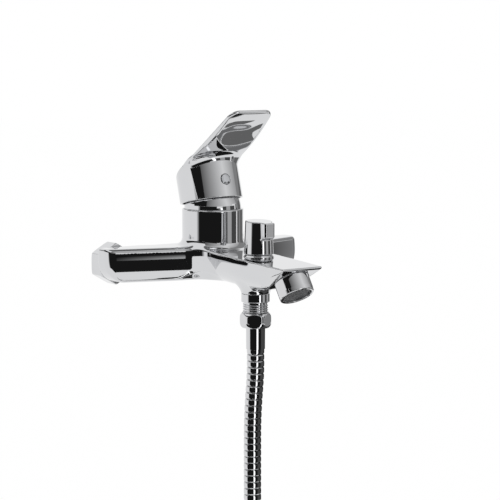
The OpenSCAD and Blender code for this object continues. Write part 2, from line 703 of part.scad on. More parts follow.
module diverter_bonnet() {
    inner = bonnet_neck_r - bonnet_wall;
    color("peru") at_diverter() difference() {
        union() {
            rod(bonnet_thread_r, bonnet_bottom, bonnet_seat);
            turned([[0, bonnet_seat - 0.6], [bonnet_collar_r, bonnet_seat - 0.6], [bonnet_collar_r, bonnet_seat + 0.8],
                [bonnet_collar_r - 1.2, knob_foot - free_gap], [0, knob_foot - free_gap]]);
            rod(bonnet_neck_r, bonnet_seat, bonnet_neck_top);
        }
        rod(diverter_stem_r + run_fit, bonnet_bottom - 1, bonnet_neck_top);
        rod(inner, bonnet_bottom + bonnet_guide, bonnet_neck_top + 1);
    }
}
module diverter_gland() {
    color("burlywood") at_diverter()
        tube(bonnet_neck_r - bonnet_wall - 0.02, diverter_stem_r + run_fit, bonnet_neck_top - gland_height, bonnet_neck_top);
}
module diverter_stem() {
    color("silver") at_diverter() {
        rod(diverter_stem_r, valve_bottom, knob_socket_top - 0.4);
        rod(bonnet_neck_r - bonnet_wall - free_gap, shoulder_low, shoulder_low + stem_shoulder);
    }
}
module diverter_valve() {
    color("black") at_diverter() tube(valve_r, diverter_stem_r, valve_bottom, valve_bottom + valve_height);
}
module diverter_knob() {
    color("gainsboro") at_diverter() difference() {
        intersection() {
            union() {
                translate([0, 0, knob_foot]) cylinder(r1 = knob_foot_r, r2 = knob_top_r, h = knob_top + 2 - knob_foot);
                knob_nose();
            }
            translate([0, 0, knob_top]) rotate([knob_slope, 0, 0]) translate([-50, -50, -100]) cube(100);
        }
        rod(bonnet_neck_r + free_gap + 0.4, knob_foot - 1, knob_cavity_top);
        rod(diverter_stem_r + 0.02, knob_foot, knob_socket_top);
    }
}
// The finger nose: rounded in plan, with an under face that rises to the front
module knob_nose() {
    half = nose_width / 2;
    round = 2;
    intersection() {
        linear_extrude(height = knob_top + 4) polygon(concat([[-half, 0]],
            arc(round - half, round - nose_reach, round, 180, 270, 5), arc(half - round, round - nose_reach, round, 270, 360, 5),
            [[half, 0]]));
        rotate([90, 0, 90]) linear_extrude(height = nose_width + 2, center = true) polygon([[0, nose_bottom - 2],
            [-knob_top_r + 1, nose_bottom - 1], [-nose_reach + 2, nose_bottom], [-nose_reach - 1, nose_bottom + 3],
            [-nose_reach - 1, knob_top + 4], [0, knob_top + 4]]);
    }
}

// Tube along points, as rings of eight round a path with the given frames
function ring(p, n, b, r, sides = 8) = [for (k = [0:sides - 1]) p + r * (cos(k * 360 / sides) * n + sin(k * 360 / sides) * b)];
function unit(v) = v / norm(v);
// A helical spring, its ends ground into flat turns
module diverter_spring() {
    steps = spring_turns * 12;
    rise = spring_high - spring_low;
    color("dimgray") at_diverter() loft([for (k = [0:steps]) let (t = k / steps, a = 360 * spring_turns * t,
        radial = [cos(a), sin(a), 0], z = spring_low + rise * t)
        ring(spring_r * radial + [0, 0, z], radial, [0, 0, 1], spring_wire_r, 6)]);
}

module aerator_shell() {
    inner = aerator_r - aerator_wall;
    color("silver") at_aerator() difference() {
        union() {
            turned([[0, 0], [aerator_r - 1, 0], [aerator_r, 1], [aerator_r, aerator_length - 0.8],
                [aerator_r - 0.8, aerator_length], [0, aerator_length]]);
            rod(aerator_neck_r, aerator_length - 1, aerator_length + aerator_neck);
        }
        rod(inner, -1, aerator_length - 3);
        rod(aerator_neck_r - 2.4, 0, aerator_length + aerator_neck + 1);
    }
}
module aerator_mesh() {
    inner = aerator_r - aerator_wall - seat_fit;
    gap = mesh_pitch - mesh_bar;
    rows = floor((inner - 2) / mesh_pitch);
    color("darkgray") at_aerator() translate([0, 0, mesh_recess]) linear_extrude(height = mesh_plate) difference() {
        circle(r = inner);
        for (i = [-rows:rows], j = [-rows:rows]) if (norm([i, j]) * mesh_pitch + gap < inner - 0.6)
            translate([i * mesh_pitch - gap / 2, j * mesh_pitch - gap / 2]) square(gap);
    }
}
module aerator_insert() {
    inner = aerator_r - aerator_wall - seat_fit;
    low = mesh_recess + mesh_plate;
    color("white") at_aerator() difference() {
        rod(inner, low, aerator_length - 3);
        rod(inner - 1.6, low - 1, aerator_length - 6);
        for (k = [0:11]) rotate([0, 0, k * 30]) translate([inner * 0.55, 0, 0]) rod(1.2, low, aerator_length);
    }
}
module aerator_gasket() {
    color("dimgray") at_aerator() tube(aerator_neck_r, aerator_neck_r - 2.4, aerator_length + aerator_neck,
        aerator_length + aerator_neck + 1);
}

module shower_nipple() {
    color("silver") at_shower() difference() {
        union() {
            rod(nipple_root_r, -boss_bottom, nipple_root - boss_bottom - seat_fit);
            turned([[0, collar_bottom], [boss_r - 0.6, collar_bottom], [boss_r, collar_bottom + 0.6],
                [boss_r, -boss_bottom - 0.6], [boss_r - 0.6, -boss_bottom], [0, -boss_bottom]]);
            rod(shower_thread_r, nipple_bottom, collar_bottom);
        }
        rod(nipple_bore_r, nipple_bottom - 1, nipple_root - boss_bottom + 1);
    }
}
// The hose nut is turned to a barrel, so its flats end in curves
module hose_nut() {
    corner = hose_nut_flats / sqrt(3);
    mid = (hose_nut_top + hose_nut_bottom) / 2;
    barrel = hose_nut_flats / 2 + 1.1;
    color("silver") at_shower() difference() {
        intersection() {
            rotate([0, 0, hose_nut_turn]) translate([0, 0, hose_nut_bottom]) cylinder(r = corner, h = hose_nut_length, $fn = 6);
            turned([[0, hose_nut_bottom], [hose_nut_flats / 2 - 1.4, hose_nut_bottom], [barrel - 0.6, hose_nut_bottom + 2],
                [barrel, mid - 2], [barrel, mid + 2], [barrel - 0.6, hose_nut_top - 2],
                [hose_nut_flats / 2 - 0.8, hose_nut_top], [0, hose_nut_top]]);
        }
        rod(ferrule_r + free_gap, hose_nut_bottom - 1, hose_nut_top);
        rod(nut_bore_r, hose_nut_bottom + hose_nut_lip, hose_nut_top + 1);
    }
}
module hose_washer() { color("dimgray") at_shower() tube(tail_flange_r, nipple_bore_r, washer_bottom, nipple_bottom); }
module hose_tail() {
    spigot = ferrule_bore_r - 0.02;
    color("peru") at_shower() difference() {
        union() {
            rod(tail_flange_r, tail_flange_bottom, washer_bottom);
            rod(spigot, ferrule_bottom + 1.4, tail_flange_bottom + 0.1);
        }
        rod(spigot - tail_wall, ferrule_bottom, washer_bottom + 1);
    }
}
module hose_ferrule() { color("silver") at_shower() tube(ferrule_r, ferrule_bore_r, ferrule_bottom, tail_flange_bottom); }

// Route of the hanging stretch, from the ferrule down
drop_route = [[0, -106, -63.4], [0, -106, -71], [0, -106, -79], [-0.3, -106, -87], [-0.9, -106, -95],
    [-1.6, -106, -103], [-2.2, -106, -111], [-2.6, -106, -119], [-2.9, -106, -127], [-3, -106, -135],
    [-3, -106, -143], [-3, -106, -151], [-3, -106, -159], [-3, -106, -167], [-3, -106, -175], [-3, -106, -183]];
drop_end = drop_route[len(drop_route) - 1];
drop_length = drop_route[0][2] - drop_end[2];
// A smooth curve through the route's points, at t from 0 to 1
function drop_point(t) =
    let (n = len(drop_route) - 1, u = min(max(t, 0), 1) * n, i = min(floor(u), n - 1), f = u - i,
        a = drop_route[max(i - 1, 0)], b = drop_route[i], c = drop_route[i + 1], d = drop_route[min(i + 2, n)])
    b + f * ((c - a) / 2 + f * ((2 * a - 5 * b + 4 * c - d) / 2 + f * (3 * b - a - 3 * c + d) / 2));
// Route of the coil: straight down, a quarter bend, a flat spiral and a straight tail, at s along it
coil_straight = 14;
bend_length = coil_bend * PI / 2;
bend_low = drop_end[2] - coil_straight;
floor_line = bend_low - coil_bend;
spiral_growth = coil_pitch / (2 * PI);
spiral_start = [drop_end[0] - coil_bend, drop_end[1]];
spiral_lead = atan(spiral_growth / coil_in);
spiral_centre = spiral_start - coil_in * [cos(90 + spiral_lead), sin(90 + spiral_lead)];
spiral_length = coil_in * 2 * PI * coil_turns + spiral_growth * pow(2 * PI * coil_turns, 2) / 2;
spiral_from = coil_straight + bend_length;
tail_from = spiral_from + spiral_length;
coil_length = tail_from + coil_tail;
tail_rise = cone_r - hose_r + 0.6;
function spiral_turn(s) = (sqrt(coil_in * coil_in + 2 * spiral_growth * s) - coil_in) / spiral_growth * 180 / PI;
function spiral_point(s) = let (a = spiral_turn(s), r = coil_in + spiral_growth * a * PI / 180)
    [each spiral_centre + r * [cos(90 + spiral_lead + a), sin(90 + spiral_lead + a)], floor_line];
tail_start = spiral_point(spiral_length);
tail_way = unit(tail_start - spiral_point(spiral_length - 0.2));
function coil_point(s) = s < coil_straight ? drop_end - [0, 0, s]
    : s < spiral_from ? let (a = (s - coil_straight) / coil_bend * 180 / PI)
        [spiral_start[0] + coil_bend * cos(a), drop_end[1], bend_low - coil_bend * sin(a)]
    : s < tail_from ? spiral_point(s - spiral_from)
    : tail_start + (s - tail_from) * tail_way
        + [0, 0, tail_rise * ease((s - tail_from) / (coil_tail - 2 * hose_r))];
function coil_normal(s) = s < spiral_from ? [0, -1, 0]
    : unit(cross([0, 0, 1], coil_point(s + 0.2) - coil_point(s - 0.2)));
function coil_way(s) = unit(coil_point(s + 0.2) - coil_point(s - 0.2));
function drop_way(t) = unit(drop_point(t + 0.01) - drop_point(t - 0.01));
// Least gap of the coil to itself, between points well apart along it
gap_step = 9;
gap_points = [for (s = [0:gap_step:coil_length]) coil_point(s)];
function apart(i, j) = norm(gap_points[i] - gap_points[j]);
coil_gap = min([for (i = [0:len(gap_points) - 1], j = [i + 8:1:len(gap_points) - 1]) apart(i, j)]) - 2 * hose_r;
echo(str("Least gap of the hose's coil to itself: ", coil_gap, " mm"));

// A hollow hose with ribs: outer rings step from groove to rib, and the bore has its own rings
module ribbed_hose(outer, bore) {
    n = len(outer[0]);
    m = len(outer);
    q = len(bore);
    o = m * n;
    polyhedron(concat([for (r = outer) each r], [for (r = bore) each r]), concat(
        [for (k = [0:m - 2], i = [0:n - 1]) each let (j = (i + 1) % n)
            [[k * n + j, k * n + i, (k + 1) * n + i], [(k + 1) * n + j, k * n + j, (k + 1) * n + i]]],
        [for (k = [0:q - 2], i = [0:n - 1]) each let (j = (i + 1) % n)
            [[o + k * n + i, o + k * n + j, o + (k + 1) * n + i], [o + (k + 1) * n + i, o + k * n + j, o + (k + 1) * n + j]]],
        [for (i = [0:n - 1]) each let (j = (i + 1) % n) [[i, j, o + i], [o + i, j, o + j]]],
        [for (i = [0:n - 1]) each let (j = (i + 1) % n, a = (m - 1) * n, b = o + (q - 1) * n)
            [[a + j, a + i, b + i], [b + j, a + j, b + i]]]));
}
drop_ribs = floor(drop_length / drop_rib_pitch);
coil_ribs = floor(coil_length / coil_rib_pitch);
function rib_r(k) = k % 2 == 0 ? hose_r : hose_r - rib_depth;
module hose_drop() {
    rings = 2 * drop_ribs;
    holes = 12;
    color("lightgray") ribbed_hose(
        [for (k = [0:rings]) let (t = k / rings) ring(drop_point(t), [0, -1, 0], cross(drop_way(t), [0, -1, 0]), rib_r(k))],
        [for (k = [0:holes]) let (t = k / holes) ring(drop_point(t), [0, -1, 0], cross(drop_way(t), [0, -1, 0]), hose_bore_r)]);
}
module hose_coil() {
    rings = 2 * coil_ribs;
    holes = ceil(coil_length / 15);
    color("lightgray") ribbed_hose(
        [for (k = [0:rings]) let (s = coil_length * k / rings)
            ring(coil_point(s), coil_normal(s), cross(coil_way(s), coil_normal(s)), rib_r(k))],
        [for (k = [0:holes]) let (s = coil_length * k / holes)
            ring(coil_point(s), coil_normal(s), cross(coil_way(s), coil_normal(s)), hose_bore_r)]);
}
// The far fittings stand on the hose's end, drawn along +Z and laid along the tail
far_end = coil_point(coil_length);
module at_far_end() { translate(far_end) rotate([0, 90, atan2(tail_way[1], tail_way[0])]) children(); }
module far_ferrule() { color("silver") at_far_end() tube(ferrule_r, ferrule_bore_r, 0, far_lip); }
module far_tail() {
    spigot = ferrule_bore_r - 0.02;
    color("peru") at_far_end() difference() {
        union() {
            rod(tail_flange_r, far_lip, far_washer_start);
            rod(spigot, 1.4, far_lip + 0.1);
        }
        rod(spigot - tail_wall, 0, far_washer_start + 1);
    }
}
module far_washer() {
    color("dimgray") at_far_end() tube(tail_flange_r, nipple_bore_r, far_washer_start, far_washer_start + hose_washer);
}
module cone_nut() {
    color("silver") at_far_end() difference() {
        turned([[0, cone_start], [cone_narrow_r, cone_start], [cone_r, cone_end - 9], [cone_r, cone_end - 0.8],
            [cone_r - 0.8, cone_end], [0, cone_end]]);
        rod(ferrule_r + free_gap, cone_start - 1, cone_end);
        rod(nut_bore_r + thread_relief, far_lip - free_gap, cone_thread_start);
        rod(nut_bore_r, far_lip, cone_end + 1);
    }
}

body_casting();
inlet_seat_left();
inlet_seat_right();
inlet_gasket_left();
inlet_gasket_right();
union_nut_left();
union_nut_right();
cartridge_seals();
cartridge_base();
cartridge_housing();
fixed_disc();
moving_disc();
disc_carrier();
stem_guide();
pivot_pin();
lever_stem();
ring_nut();
dome_ring();
lever_handle();
clamp_screw();
index_plug();
diverter_bonnet();
diverter_gland();
diverter_stem();
diverter_valve();
diverter_spring();
diverter_knob();
aerator_shell();
aerator_insert();
aerator_mesh();
aerator_gasket();
shower_nipple();
hose_nut();
hose_washer();
hose_tail();
hose_ferrule();
hose_drop();
hose_coil();
far_ferrule();
far_tail();
far_washer();
cone_nut();
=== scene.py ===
"""Dress of a wall-mounted single-lever bath shower mixer: chrome pieces, ribbed hose, studio and camera."""

import json
import logging
import math
from dataclasses import dataclass
from enum import Enum
from typing import Any, Callable, Sequence

import bpy
import numpy as np
from mathutils import Matrix, Vector


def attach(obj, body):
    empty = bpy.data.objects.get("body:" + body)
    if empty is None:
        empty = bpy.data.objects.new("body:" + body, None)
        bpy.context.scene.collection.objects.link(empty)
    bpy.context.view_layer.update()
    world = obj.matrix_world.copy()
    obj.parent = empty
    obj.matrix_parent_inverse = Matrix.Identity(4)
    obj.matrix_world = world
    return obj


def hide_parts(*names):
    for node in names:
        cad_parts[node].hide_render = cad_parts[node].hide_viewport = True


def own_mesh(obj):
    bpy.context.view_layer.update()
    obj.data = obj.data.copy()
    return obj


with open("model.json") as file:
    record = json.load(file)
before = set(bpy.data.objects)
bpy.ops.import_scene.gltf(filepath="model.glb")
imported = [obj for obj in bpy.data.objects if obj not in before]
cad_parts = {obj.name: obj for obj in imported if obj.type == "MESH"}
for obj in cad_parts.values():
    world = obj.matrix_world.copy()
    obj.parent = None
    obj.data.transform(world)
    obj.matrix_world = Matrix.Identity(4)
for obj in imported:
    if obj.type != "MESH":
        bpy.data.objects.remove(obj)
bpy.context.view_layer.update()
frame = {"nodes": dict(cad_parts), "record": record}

LOG = logging.getLogger("mixer")
MM = 0.001
Array = np.ndarray
Field = Callable[[Array, Array, Array], Array]


class Slot(Enum):
    """Material slots of the record."""

    CHROME = "chrome"
    BRASS = "brass"
    STEEL = "steel"
    RUBBER = "rubber"
    CARTRIDGE = "cartridge_plastic"
    CERAMIC = "ceramic"
    INDEX = "index_plastic"
    AERATOR = "aerator_plastic"


class Body(Enum):
    """Bodies that the pieces ride on."""

    MIXER = "mixer_body"
    NUT_LEFT = "nut_left"
    NUT_RIGHT = "nut_right"
    LEVER = "lever"
    DIVERTER = "diverter"
    HOSE_NUT = "hose_nut_body"
    CONE_NUT = "cone_nut_body"


def operator(kind: str) -> Callable[..., "Value"]:
    """Makes a method that adds a Math node.

    Args:
        kind: the Math node's operation.

    Returns:
        The method, which takes a second number or value and gives the node's result.
    """

    def apply(first: "Value", second: Any = 0.0) -> "Value":
        """Adds the node."""
        return first.kit.value(first.kit.node("ShaderNodeMath", {0: first, 1: second}, operation=kind))

    return apply


class Value:
    """A socket that takes part in Python arithmetic."""

    def __init__(self, kit: "NodeMaker", socket: bpy.types.NodeSocket) -> None:
        """Keeps the socket and the tree that it belongs to."""
        self.kit = kit
        self.socket = socket

    __add__ = __radd__ = operator("ADD")
    __sub__ = operator("SUBTRACT")
    __mul__ = __rmul__ = operator("MULTIPLY")
    __truediv__ = operator("DIVIDE")
    __pow__ = operator("POWER")
    __abs__ = operator("ABSOLUTE")
    fraction = operator("FRACT")
    root = operator("SQRT")

    def __rsub__(self, other: float) -> "Value":
        """Difference from a number."""
        return self * -1.0 + other

    def clipped(self) -> "Value":
        """The value held between 0 and 1."""
        return self.kit.value(self.kit.node("ShaderNodeClamp", {0: self}))


class NodeMaker:
    """Adds nodes to a tree, for a shader or for a shape."""

    tree: bpy.types.NodeTree

    def link(self, given: Any, target: bpy.types.NodeSocket) -> None:
        """Links a value or a socket to an input."""
        self.tree.links.new(given.socket if isinstance(given, Value) else given, target)

    def node(self, kind: str, inputs: dict[Any, Any] | None = None, **settings: Any) -> Any:
        """Adds a node.

        Args:
            kind: the node's type.
            inputs: numbers, colours, sockets or values by socket.
            settings: properties, set first.

        Returns:
            The node.
        """
        made = self.tree.nodes.new(kind)
        for key, setting in settings.items():
            setattr(made, key, setting)
        for key, given in (inputs or {}).items():
            if isinstance(given, (Value, bpy.types.NodeSocket)):
                self.link(given, made.inputs[key])
            else:
                made.inputs[key].default_value = given
        return made

    def value(self, made: Any, name: Any = 0) -> Value:
        """An output of a node."""
        return Value(self, made.outputs[name])


class ShaderKit(NodeMaker):
    """Builds one material's node tree."""

    GROOVE_EDGE = 9.0

    def __init__(self, name: str) -> None:
        """Makes the material with a Principled shader."""
        self.material = bpy.data.materials.new(name)
        self.material.use_nodes = True
        self.tree = self.material.node_tree
        self.shader = self.tree.nodes["Principled BSDF"]
        self.output = self.tree.nodes["Material Output"]

    def place(self, scale: Sequence[float] = (1, 1, 1)) -> Value:
        """Object coordinates, stretched."""
        coordinates = self.value(self.node("ShaderNodeTexCoord"), "Object")
        return self.value(self.node("ShaderNodeMapping", {"Vector": coordinates, "Scale": scale}))

    def noise(self, where: Value, scale: float, detail: float = 3.0) -> Value:
        """Noise between 0 and 1 at the given scale."""
        return self.value(self.node("ShaderNodeTexNoise", {"Vector": where, "Scale": scale, "Detail": detail}), "Fac")

    def mix(self, factor: Value, first: Any, second: Sequence[float]) -> Value:
        """Mix of a colour, or a value that holds one, with a second colour."""
        start = first if isinstance(first, Value) else (*first, 1.0)
        made = self.node("ShaderNodeMix", {0: factor, 6: start, 7: (*second, 1.0)}, data_type="RGBA")
        return self.value(made, 2)

    def spread(self, name: str) -> tuple[Value, Value]:
        """The two coordinates of a UV map."""
        across = self.node("ShaderNodeSeparateXYZ", {0: self.value(self.node("ShaderNodeUVMap", uv_map=name))})
        return self.value(across, 0), self.value(across, 1)

    def grooves(self) -> Value:
        """How deep a point lies between two ribs, from the rib count kept in the UV map; it is the mask of the painted
        shade in the grooves.
        """
        return abs(self.spread("ribs")[1].fraction() * 2.0 - 1.0) ** self.GROOVE_EDGE

    def feed(self, name: str, given: Any) -> None:
        """Sets or links an input of the Principled shader."""
        if isinstance(given, Value):
            self.link(given, self.shader.inputs[name])
        else:
            self.shader.inputs[name].default_value = given

    def bump(self, height: Value, strength: float, distance: float) -> None:
        """Feeds a bump to the shader's normal."""
        made = self.node("ShaderNodeBump", {"Height": height, "Strength": strength, "Distance": distance})
        self.feed("Normal", self.value(made, "Normal"))


@dataclass(frozen=True)
class Finish:
    """A finish with a colour that drifts and a roughness that varies, and, for the hose, painted shade: a darker base
    colour in the grooves between ribs.
    """

    DRIFT = 38.0

    name: str
    first: tuple[float, float, float]
    second: tuple[float, float, float]
    metallic: float
    roughness: float
    spread: float
    grain: float
    relief: float = 0.0
    stretch: tuple[float, float, float] = (1.0, 1.0, 1.0)
    coat: float = 0.0
    # Colour of the painted shade laid into the grooves between ribs, or None.
    painted_groove_shade: tuple[float, float, float] | None = None

    def build(self) -> bpy.types.Material:
        """Makes the material.

        Returns:
            The material, procedural on Object coordinates.
        """
        kit = ShaderKit(self.name)
        where = kit.place(self.stretch)
        grain = kit.noise(where, self.grain)
        drift = kit.noise(kit.place(), self.DRIFT, 2.0)
        colour = kit.mix(drift, self.first, self.second)
        # Painted shade: the base colour darkens towards the groove colour between the ribs.
        kit.feed("Base Color", kit.mix(kit.grooves(), colour, self.painted_groove_shade) if self.painted_groove_shade else colour)
        kit.feed("Metallic", self.metallic)
        kit.feed("Roughness", self.roughness + self.spread * (grain * 0.6 + drift * 0.4))
        kit.feed("Coat Weight", self.coat)
        if self.relief > 0.0:
            kit.bump(grain, 0.5, self.relief)
        return kit.material


FINISHES = {
    Slot.CHROME: Finish("polished_chrome", (0.62, 0.625, 0.64), (0.66, 0.665, 0.675), 1.0, 0.012, 0.03, 160.0),
    Slot.BRASS: Finish("machined_brass", (0.66, 0.48, 0.22), (0.74, 0.57, 0.3), 1.0, 0.2, 0.16, 900.0, 2e-5, (0.05, 0.05, 1)),
    Slot.STEEL: Finish("satin_steel", (0.52, 0.53, 0.55), (0.62, 0.63, 0.65), 1.0, 0.22, 0.14, 1200.0, 1e-5, (1, 0.08, 0.08)),
    Slot.RUBBER: Finish("seal_rubber", (0.02, 0.02, 0.022), (0.045, 0.045, 0.05), 0.0, 0.55, 0.2, 1500.0, 4e-5),
    Slot.CARTRIDGE: Finish("moulded_cartridge", (0.72, 0.72, 0.7), (0.82, 0.82, 0.8), 0.0, 0.38, 0.14, 1800.0, 1e-5),
    Slot.CERAMIC: Finish("lapped_ceramic", (0.82, 0.8, 0.75), (0.9, 0.88, 0.84), 0.0, 0.08, 0.06, 700.0, coat=0.4),
    Slot.INDEX: Finish("index_cap", (0.5, 0.51, 0.53), (0.6, 0.61, 0.63), 1.0, 0.06, 0.06, 400.0),
    Slot.AERATOR: Finish("aerator_screen", (0.28, 0.285, 0.29), (0.4, 0.405, 0.41), 0.6, 0.28, 0.16, 2200.0, 1e-5),
}
# The hose's grooves carry painted shade, a near-black base colour between the ribs.
HOSE_FINISH = Finish("ribbed_chrome", (0.62, 0.625, 0.64), (0.67, 0.675, 0.685), 1.0, 0.03, 0.05, 260.0, painted_groove_shade=(0.06, 0.06, 0.065))


class Wardrobe:
    """Holds one material for each finish."""

    def __init__(self) -> None:
        """Builds every finish once."""
        self.materials = {slot: finish.build() for slot, finish in FINISHES.items()}

    def dress(self, piece: bpy.types.Object, slot: Slot) -> None:
        """Gives a piece one finish."""
        piece.data.materials.clear()
        piece.data.materials.append(self.materials[slot])

    def dress_nodes(self) -> None:
        """Gives every carried-over CAD node the finish of its record slot."""
        for entry in frame["record"]["subparts"]:
            piece = frame["nodes"][entry["node"]]
            finish = self.materials[Slot(entry["material_slot"])]
            if piece.material_slots:
                for held in piece.material_slots:
                    held.material = finish
            else:
                piece.data.materials.append(finish)


def round_max(a: Array, b: Array, r: Any) -> Array:
    """Intersection of two fields with a rounded edge of radius r."""
    return np.minimum(np.maximum(a, b), -r) + np.hypot(np.maximum(a + r, 0), np.maximum(b + r, 0))


def round_min(a: Array, b: Array, r: Any) -> Array:
    """Union of two fields with a fillet of radius r."""
    return np.maximum(np.minimum(a, b), r) - np.hypot(np.maximum(r - a, 0), np.maximum(r - b, 0))


def smooth(t: Array) -> Array:
    """Eased step from 0 to 1."""
    u = np.clip(t, 0, 1)
    return u * u * (3 - 2 * u)


def drill(found: Array, x: Array, y: Array, z: Array, *bores: tuple[float, float, float]) -> Array:
    """Cuts round bores out of a field.

    Args:
        found: the field.
        x: first coordinate, from the bores' axis.
        y: second coordinate, from the axis.
        z: place along the axis.
        bores: radius, lower end and upper end of each.

    Returns:
        The field without the bores.
    """
    out = np.hypot(x, y)
    for r, low, high in bores:
        found = np.maximum(found, -np.maximum(out - r, np.maximum(low - z, z - high)))
    return found


def hex_field(x: Array, y: Array, flats: float, turn: float, edge: float) -> Array:
    """Field of a six-sided prism without ends, with rounded corners."""
    found = None
    for k in range(6):
        a = math.radians(turn + 60 * k)
        plane = x * math.cos(a) + y * math.sin(a) - flats / 2
        found = plane if found is None else round_max(found, plane, edge)
    return found


class Mesher:
    """Turns fields and profiles into meshes with exact normals."""

    CORNERS = np.array([[i, j, k] for i in (0, 1) for j in (0, 1) for k in (0, 1)])

    @staticmethod
    def make(name: str, points: Array, quads: Array, normals: Array | None = None, place: Matrix | None = None) -> bpy.types.Object:
        """Makes a mesh object.

        Args:
            name: the piece's name.
            points: places in millimetres.
            quads: four corners of each face.
            normals: one for each point, or None.
            place: where the points are set, in millimetres, if not at the origin.

        Returns:
            The object, at the origin.
        """
        if place is not None:
            turn, shift = np.array(place.to_3x3()), np.array(place.translation)
            points, normals = points @ turn.T + shift, normals @ turn.T
        mesh = bpy.data.meshes.new(name)
        mesh.vertices.add(len(points))
        mesh.vertices.foreach_set("co", (np.asarray(points, float) * MM).ravel())
        mesh.loops.add(quads.size)
        mesh.loops.foreach_set("vertex_index", quads.ravel().astype(np.int32))
        mesh.polygons.add(len(quads))
        mesh.polygons.foreach_set("loop_start", np.arange(0, quads.size, quads.shape[1], dtype=np.int32))
        mesh.polygons.foreach_set("use_smooth", np.ones(len(quads), bool))
        mesh.update(calc_edges=True)
        mesh.validate()
        if normals is not None:
            mesh.normals_split_custom_set_from_vertices([tuple(n) for n in normals])
        piece = bpy.data.objects.new(name, mesh)
        bpy.context.scene.collection.objects.link(piece)
        return piece

    @staticmethod
    def slope(field: Field, points: Array, h: float = 0.01) -> Array:
        """Gradient of a field at points, by central differences."""
        parts = []
        for axis in range(3):
            step = np.zeros(3)
            step[axis] = h
            ahead, behind = points + step, points - step
            parts.append((field(*ahead.T) - field(*behind.T)) / (2 * h))
        return np.stack(parts, 1)

    @classmethod
    def skin(cls, field: Field, low: Sequence[float], high: Sequence[float], step: float) -> tuple[Array, Array, Array]:
        """Nets the zero surface of a field and draws its points onto it.

        Args:
            field: negative inside.
            low: lowest corner of the space.
            high: highest corner.
            step: size of a cell.

        Returns:
            Points, four-cornered faces and normals.
        """
        axes = [np.arange(a, b + step, step) for a, b in zip(low, high)]
        values = field(*np.meshgrid(*axes, indexing="ij"))
        inside = values < 0
        shape = [n - 1 for n in values.shape]
        held = np.zeros(shape, np.int8)
        for i, j, k in cls.CORNERS:
            held += inside[i : i + shape[0], j : j + shape[1], k : k + shape[2]]
        cells = np.argwhere((held > 0) & (held < 8))
        ids = np.full(shape, -1, np.int64)
        ids[tuple(cells.T)] = np.arange(len(cells))
        corner = np.stack([values[tuple((cells + c).T)] for c in cls.CORNERS], 1)
        total, count = np.zeros((len(cells), 3)), np.zeros(len(cells))
        for a in range(8):
            for b in range(a + 1, 8):
                if np.abs(cls.CORNERS[a] - cls.CORNERS[b]).sum() != 1:
                    continue
                crossed = (corner[:, a] < 0) != (corner[:, b] < 0)
                t = np.where(crossed, corner[:, a] / np.where(crossed, corner[:, a] - corner[:, b], 1), 0)
                total += crossed[:, None] * (cls.CORNERS[a] + t[:, None] * (cls.CORNERS[b] - cls.CORNERS[a]))
                count += crossed
        points = np.array(low) + (cells + total / count[:, None]) * step
        for _ in range(5):
            found, slope = field(*points.T), cls.slope(field, points)
            move = -(found / np.maximum((slope**2).sum(1), 0.2))[:, None] * slope
            size = np.linalg.norm(move, axis=1, keepdims=True)
            points = points + move * np.minimum(1, 0.5 * step / np.maximum(size, 1e-9))
        slope = cls.slope(field, points)
        normals = slope / np.maximum(np.linalg.norm(slope, axis=1, keepdims=True), 1e-9)
        faces = []
        for axis in range(3):
            u, v = (axis + 1) % 3, (axis + 2) % 3
            ahead = [slice(None)] * 3
            behind = [slice(None)] * 3
            ahead[axis], behind[axis] = slice(1, None), slice(None, -1)
            changed = np.argwhere(inside[tuple(ahead)] != inside[tuple(behind)])
            ok = np.all((changed[:, [u, v]] > 0) & (changed[:, [u, v]] < np.array([shape[u], shape[v]])), axis=1)
            changed = changed[ok]
            around = []
            for du, dv in ((-1, -1), (0, -1), (0, 0), (-1, 0)):
                place = changed.copy()
                place[:, u] += du
                place[:, v] += dv
                around.append(ids[tuple(place.T)])
            quad = np.stack(around, 1)
            flip = ~inside[tuple(changed.T)]
            quad[flip] = quad[flip][:, ::-1]
            faces.append(quad)
        return points, np.concatenate(faces), normals

    @staticmethod
    def rounded(corners: Sequence[tuple[float, float, float]], steps: int = 6) -> tuple[Array, Array]:
        """A closed outline whose corners are rounded.

        Args:
            corners: radius, height and corner radius, anticlockwise.
            steps: steps in each rounded corner.

        Returns:
            Points and outward normals of the outline.
        """
        points, normals = [], []
        n = len(corners)
        for i in range(n):
            p = np.array(corners[i][:2])
            before = np.array(corners[i - 1][:2]) - p
            after = np.array(corners[(i + 1) % n][:2]) - p
            lb, la = np.linalg.norm(before), np.linalg.norm(after)
            before, after = before / lb, after / la
            half = math.acos(max(-1, min(1, float(before @ after)))) / 2
            cut = min(max(corners[i][2], 0.05) / max(math.tan(half), 1e-3), 0.45 * lb, 0.45 * la)
            first = np.array([-before[1], before[0]])
            last = np.array([after[1], -after[0]])
            start, end = p + before * cut, p + after * cut
            for k in range(steps + 1):
                t = k / steps
                mixed = first * (1 - t) + last * t
                normals.append(mixed / np.linalg.norm(mixed))
                points.append((1 - t) ** 2 * start + 2 * t * (1 - t) * p + t * t * end)
        return np.array(points), np.array(normals)

    @classmethod
    def turned(cls, name: str, corners: Sequence[tuple[float, float, float]], place: Matrix, sides: int = 128) -> bpy.types.Object:
        """A turned piece from a closed outline.

        Args:
            name: the piece's name.
            corners: radius, height and corner radius, anticlockwise.
            place: where its axis stands, in millimetres.
            sides: steps round the axis.

        Returns:
            The piece.
        """
        outline, slope = cls.rounded(corners)
        m = len(outline)
        a = np.arange(sides) * 2 * math.pi / sides
        ring = np.stack([np.cos(a), np.sin(a)], 1)
        points, normals = (
            np.concatenate([flat[None, :, :1] * ring[:, None, :], np.repeat(flat[None, :, 1:], sides, 0)], 2)
            for flat in (outline, slope)
        )
        i, j = np.meshgrid(np.arange(sides), np.arange(m), indexing="ij")
        i2, j2 = (i + 1) % sides, (j + 1) % m
        quads = np.stack([i * m + j, i2 * m + j, i2 * m + j2, i * m + j2], 2).reshape(-1, 4)
        return cls.make(name, points.reshape(-1, 3), quads, normals.reshape(-1, 3), place)

